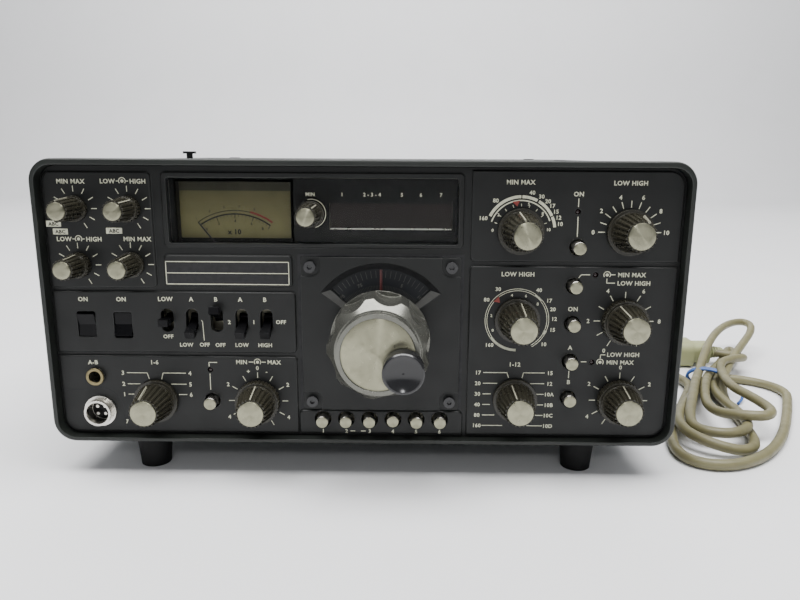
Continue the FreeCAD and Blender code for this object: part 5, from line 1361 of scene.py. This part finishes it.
class TRANSCEIVER_OT_controls(bpy.types.Operator):
    """Finish the knobs, rings, buttons, rockers and levers"""
    bl_idname = "transceiver.controls"
    bl_label = "Control finishes"

    def execute(self, context):
        finish_controls()
        return {"FINISHED"}


class TRANSCEIVER_OT_caps(bpy.types.Operator):
    """Add the spun caps and pointers of the knobs and the tuning knob's disc"""
    bl_idname = "transceiver.caps"
    bl_label = "Knob caps"

    def execute(self, context):
        knob_caps()
        tuning_disc()
        return {"FINISHED"}


class TRANSCEIVER_OT_button_caps(bpy.types.Operator):
    """Add the turned faces of the push buttons"""
    bl_idname = "transceiver.button_caps"
    bl_label = "Button faces"

    def execute(self, context):
        button_caps()
        return {"FINISHED"}


class TRANSCEIVER_OT_printing(bpy.types.Operator):
    """Print the panel's scales and labels"""
    bl_idname = "transceiver.printing"
    bl_label = "Panel printing"

    def execute(self, context):
        print_panel(context.scene.transceiver_sizes)
        return {"FINISHED"}


class TRANSCEIVER_OT_meter(bpy.types.Operator):
    """Make the meter's scale plate"""
    bl_idname = "transceiver.meter"
    bl_label = "Meter"

    def execute(self, context):
        make_meter(context.scene.transceiver_sizes)
        return {"FINISHED"}


class TRANSCEIVER_OT_window(bpy.types.Operator):
    """Make the window plate, its mask and the readout"""
    bl_idname = "transceiver.window"
    bl_label = "Display window"

    def execute(self, context):
        make_window(context.scene.transceiver_sizes)
        return {"FINISHED"}


class TRANSCEIVER_OT_dial(bpy.types.Operator):
    """Print the tuning dial and add its cursor"""
    bl_idname = "transceiver.dial"
    bl_label = "Tuning dial"

    def execute(self, context):
        make_dial(context.scene.transceiver_sizes)
        return {"FINISHED"}


class TRANSCEIVER_OT_lamps(bpy.types.Operator):
    """Seat the pilot lamps"""
    bl_idname = "transceiver.lamps"
    bl_label = "Pilot lamps"

    def execute(self, context):
        make_lamps()
        return {"FINISHED"}


class TRANSCEIVER_OT_sockets(bpy.types.Operator):
    """Add the inserts of the front sockets"""
    bl_idname = "transceiver.sockets"
    bl_label = "Front sockets"

    def execute(self, context):
        make_sockets()
        return {"FINISHED"}


class TRANSCEIVER_OT_rear(bpy.types.Operator):
    """Add the collars and numbers of the rear sockets"""
    bl_idname = "transceiver.rear"
    bl_label = "Rear sockets"

    def execute(self, context):
        make_rear(context.scene.transceiver_sizes)
        return {"FINISHED"}


class TRANSCEIVER_OT_stage(bpy.types.Operator):
    """Lay the pale sweep and set the lights"""
    bl_idname = "transceiver.stage"
    bl_label = "Stage"

    def execute(self, context):
        make_stage()
        return {"FINISHED"}


STEPS = (
    TRANSCEIVER_OT_camera, TRANSCEIVER_OT_lead, TRANSCEIVER_OT_cabinet, TRANSCEIVER_OT_controls,
    TRANSCEIVER_OT_caps, TRANSCEIVER_OT_button_caps, TRANSCEIVER_OT_printing,
    TRANSCEIVER_OT_meter, TRANSCEIVER_OT_window, TRANSCEIVER_OT_dial, TRANSCEIVER_OT_lamps,
    TRANSCEIVER_OT_sockets, TRANSCEIVER_OT_rear, TRANSCEIVER_OT_stage,
)


class TRANSCEIVER_PT_pieces(bpy.types.Panel):
    """Lists the steps that dress the set"""
    bl_idname = "TRANSCEIVER_PT_pieces"
    bl_label = "Transceiver"
    bl_space_type = "VIEW_3D"
    bl_region_type = "UI"
    bl_category = "Transceiver"

    def draw(self, context):
        for group in (context.scene.transceiver_sizes, context.scene.transceiver_tones):
            for name in group.__annotations__:
                self.layout.prop(group, name)
        for step in STEPS:
            self.layout.operator(step.bl_idname)


CLASSES = (TransceiverTones, TransceiverSizes, *STEPS, TRANSCEIVER_PT_pieces)


def register():
    for item in CLASSES:
        bpy.utils.register_class(item)
    bpy.types.Scene.transceiver_tones = PointerProperty(type=TransceiverTones)
    bpy.types.Scene.transceiver_sizes = PointerProperty(type=TransceiverSizes)


def unregister():
    del bpy.types.Scene.transceiver_sizes
    del bpy.types.Scene.transceiver_tones
    for item in reversed(CLASSES):
        bpy.utils.unregister_class(item)


def main():
    """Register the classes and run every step."""
    register()
    for step in STEPS:
        group, name = step.bl_idname.split(".")
        getattr(getattr(bpy.ops, group), name)()


if __name__ == "__main__":
    main()
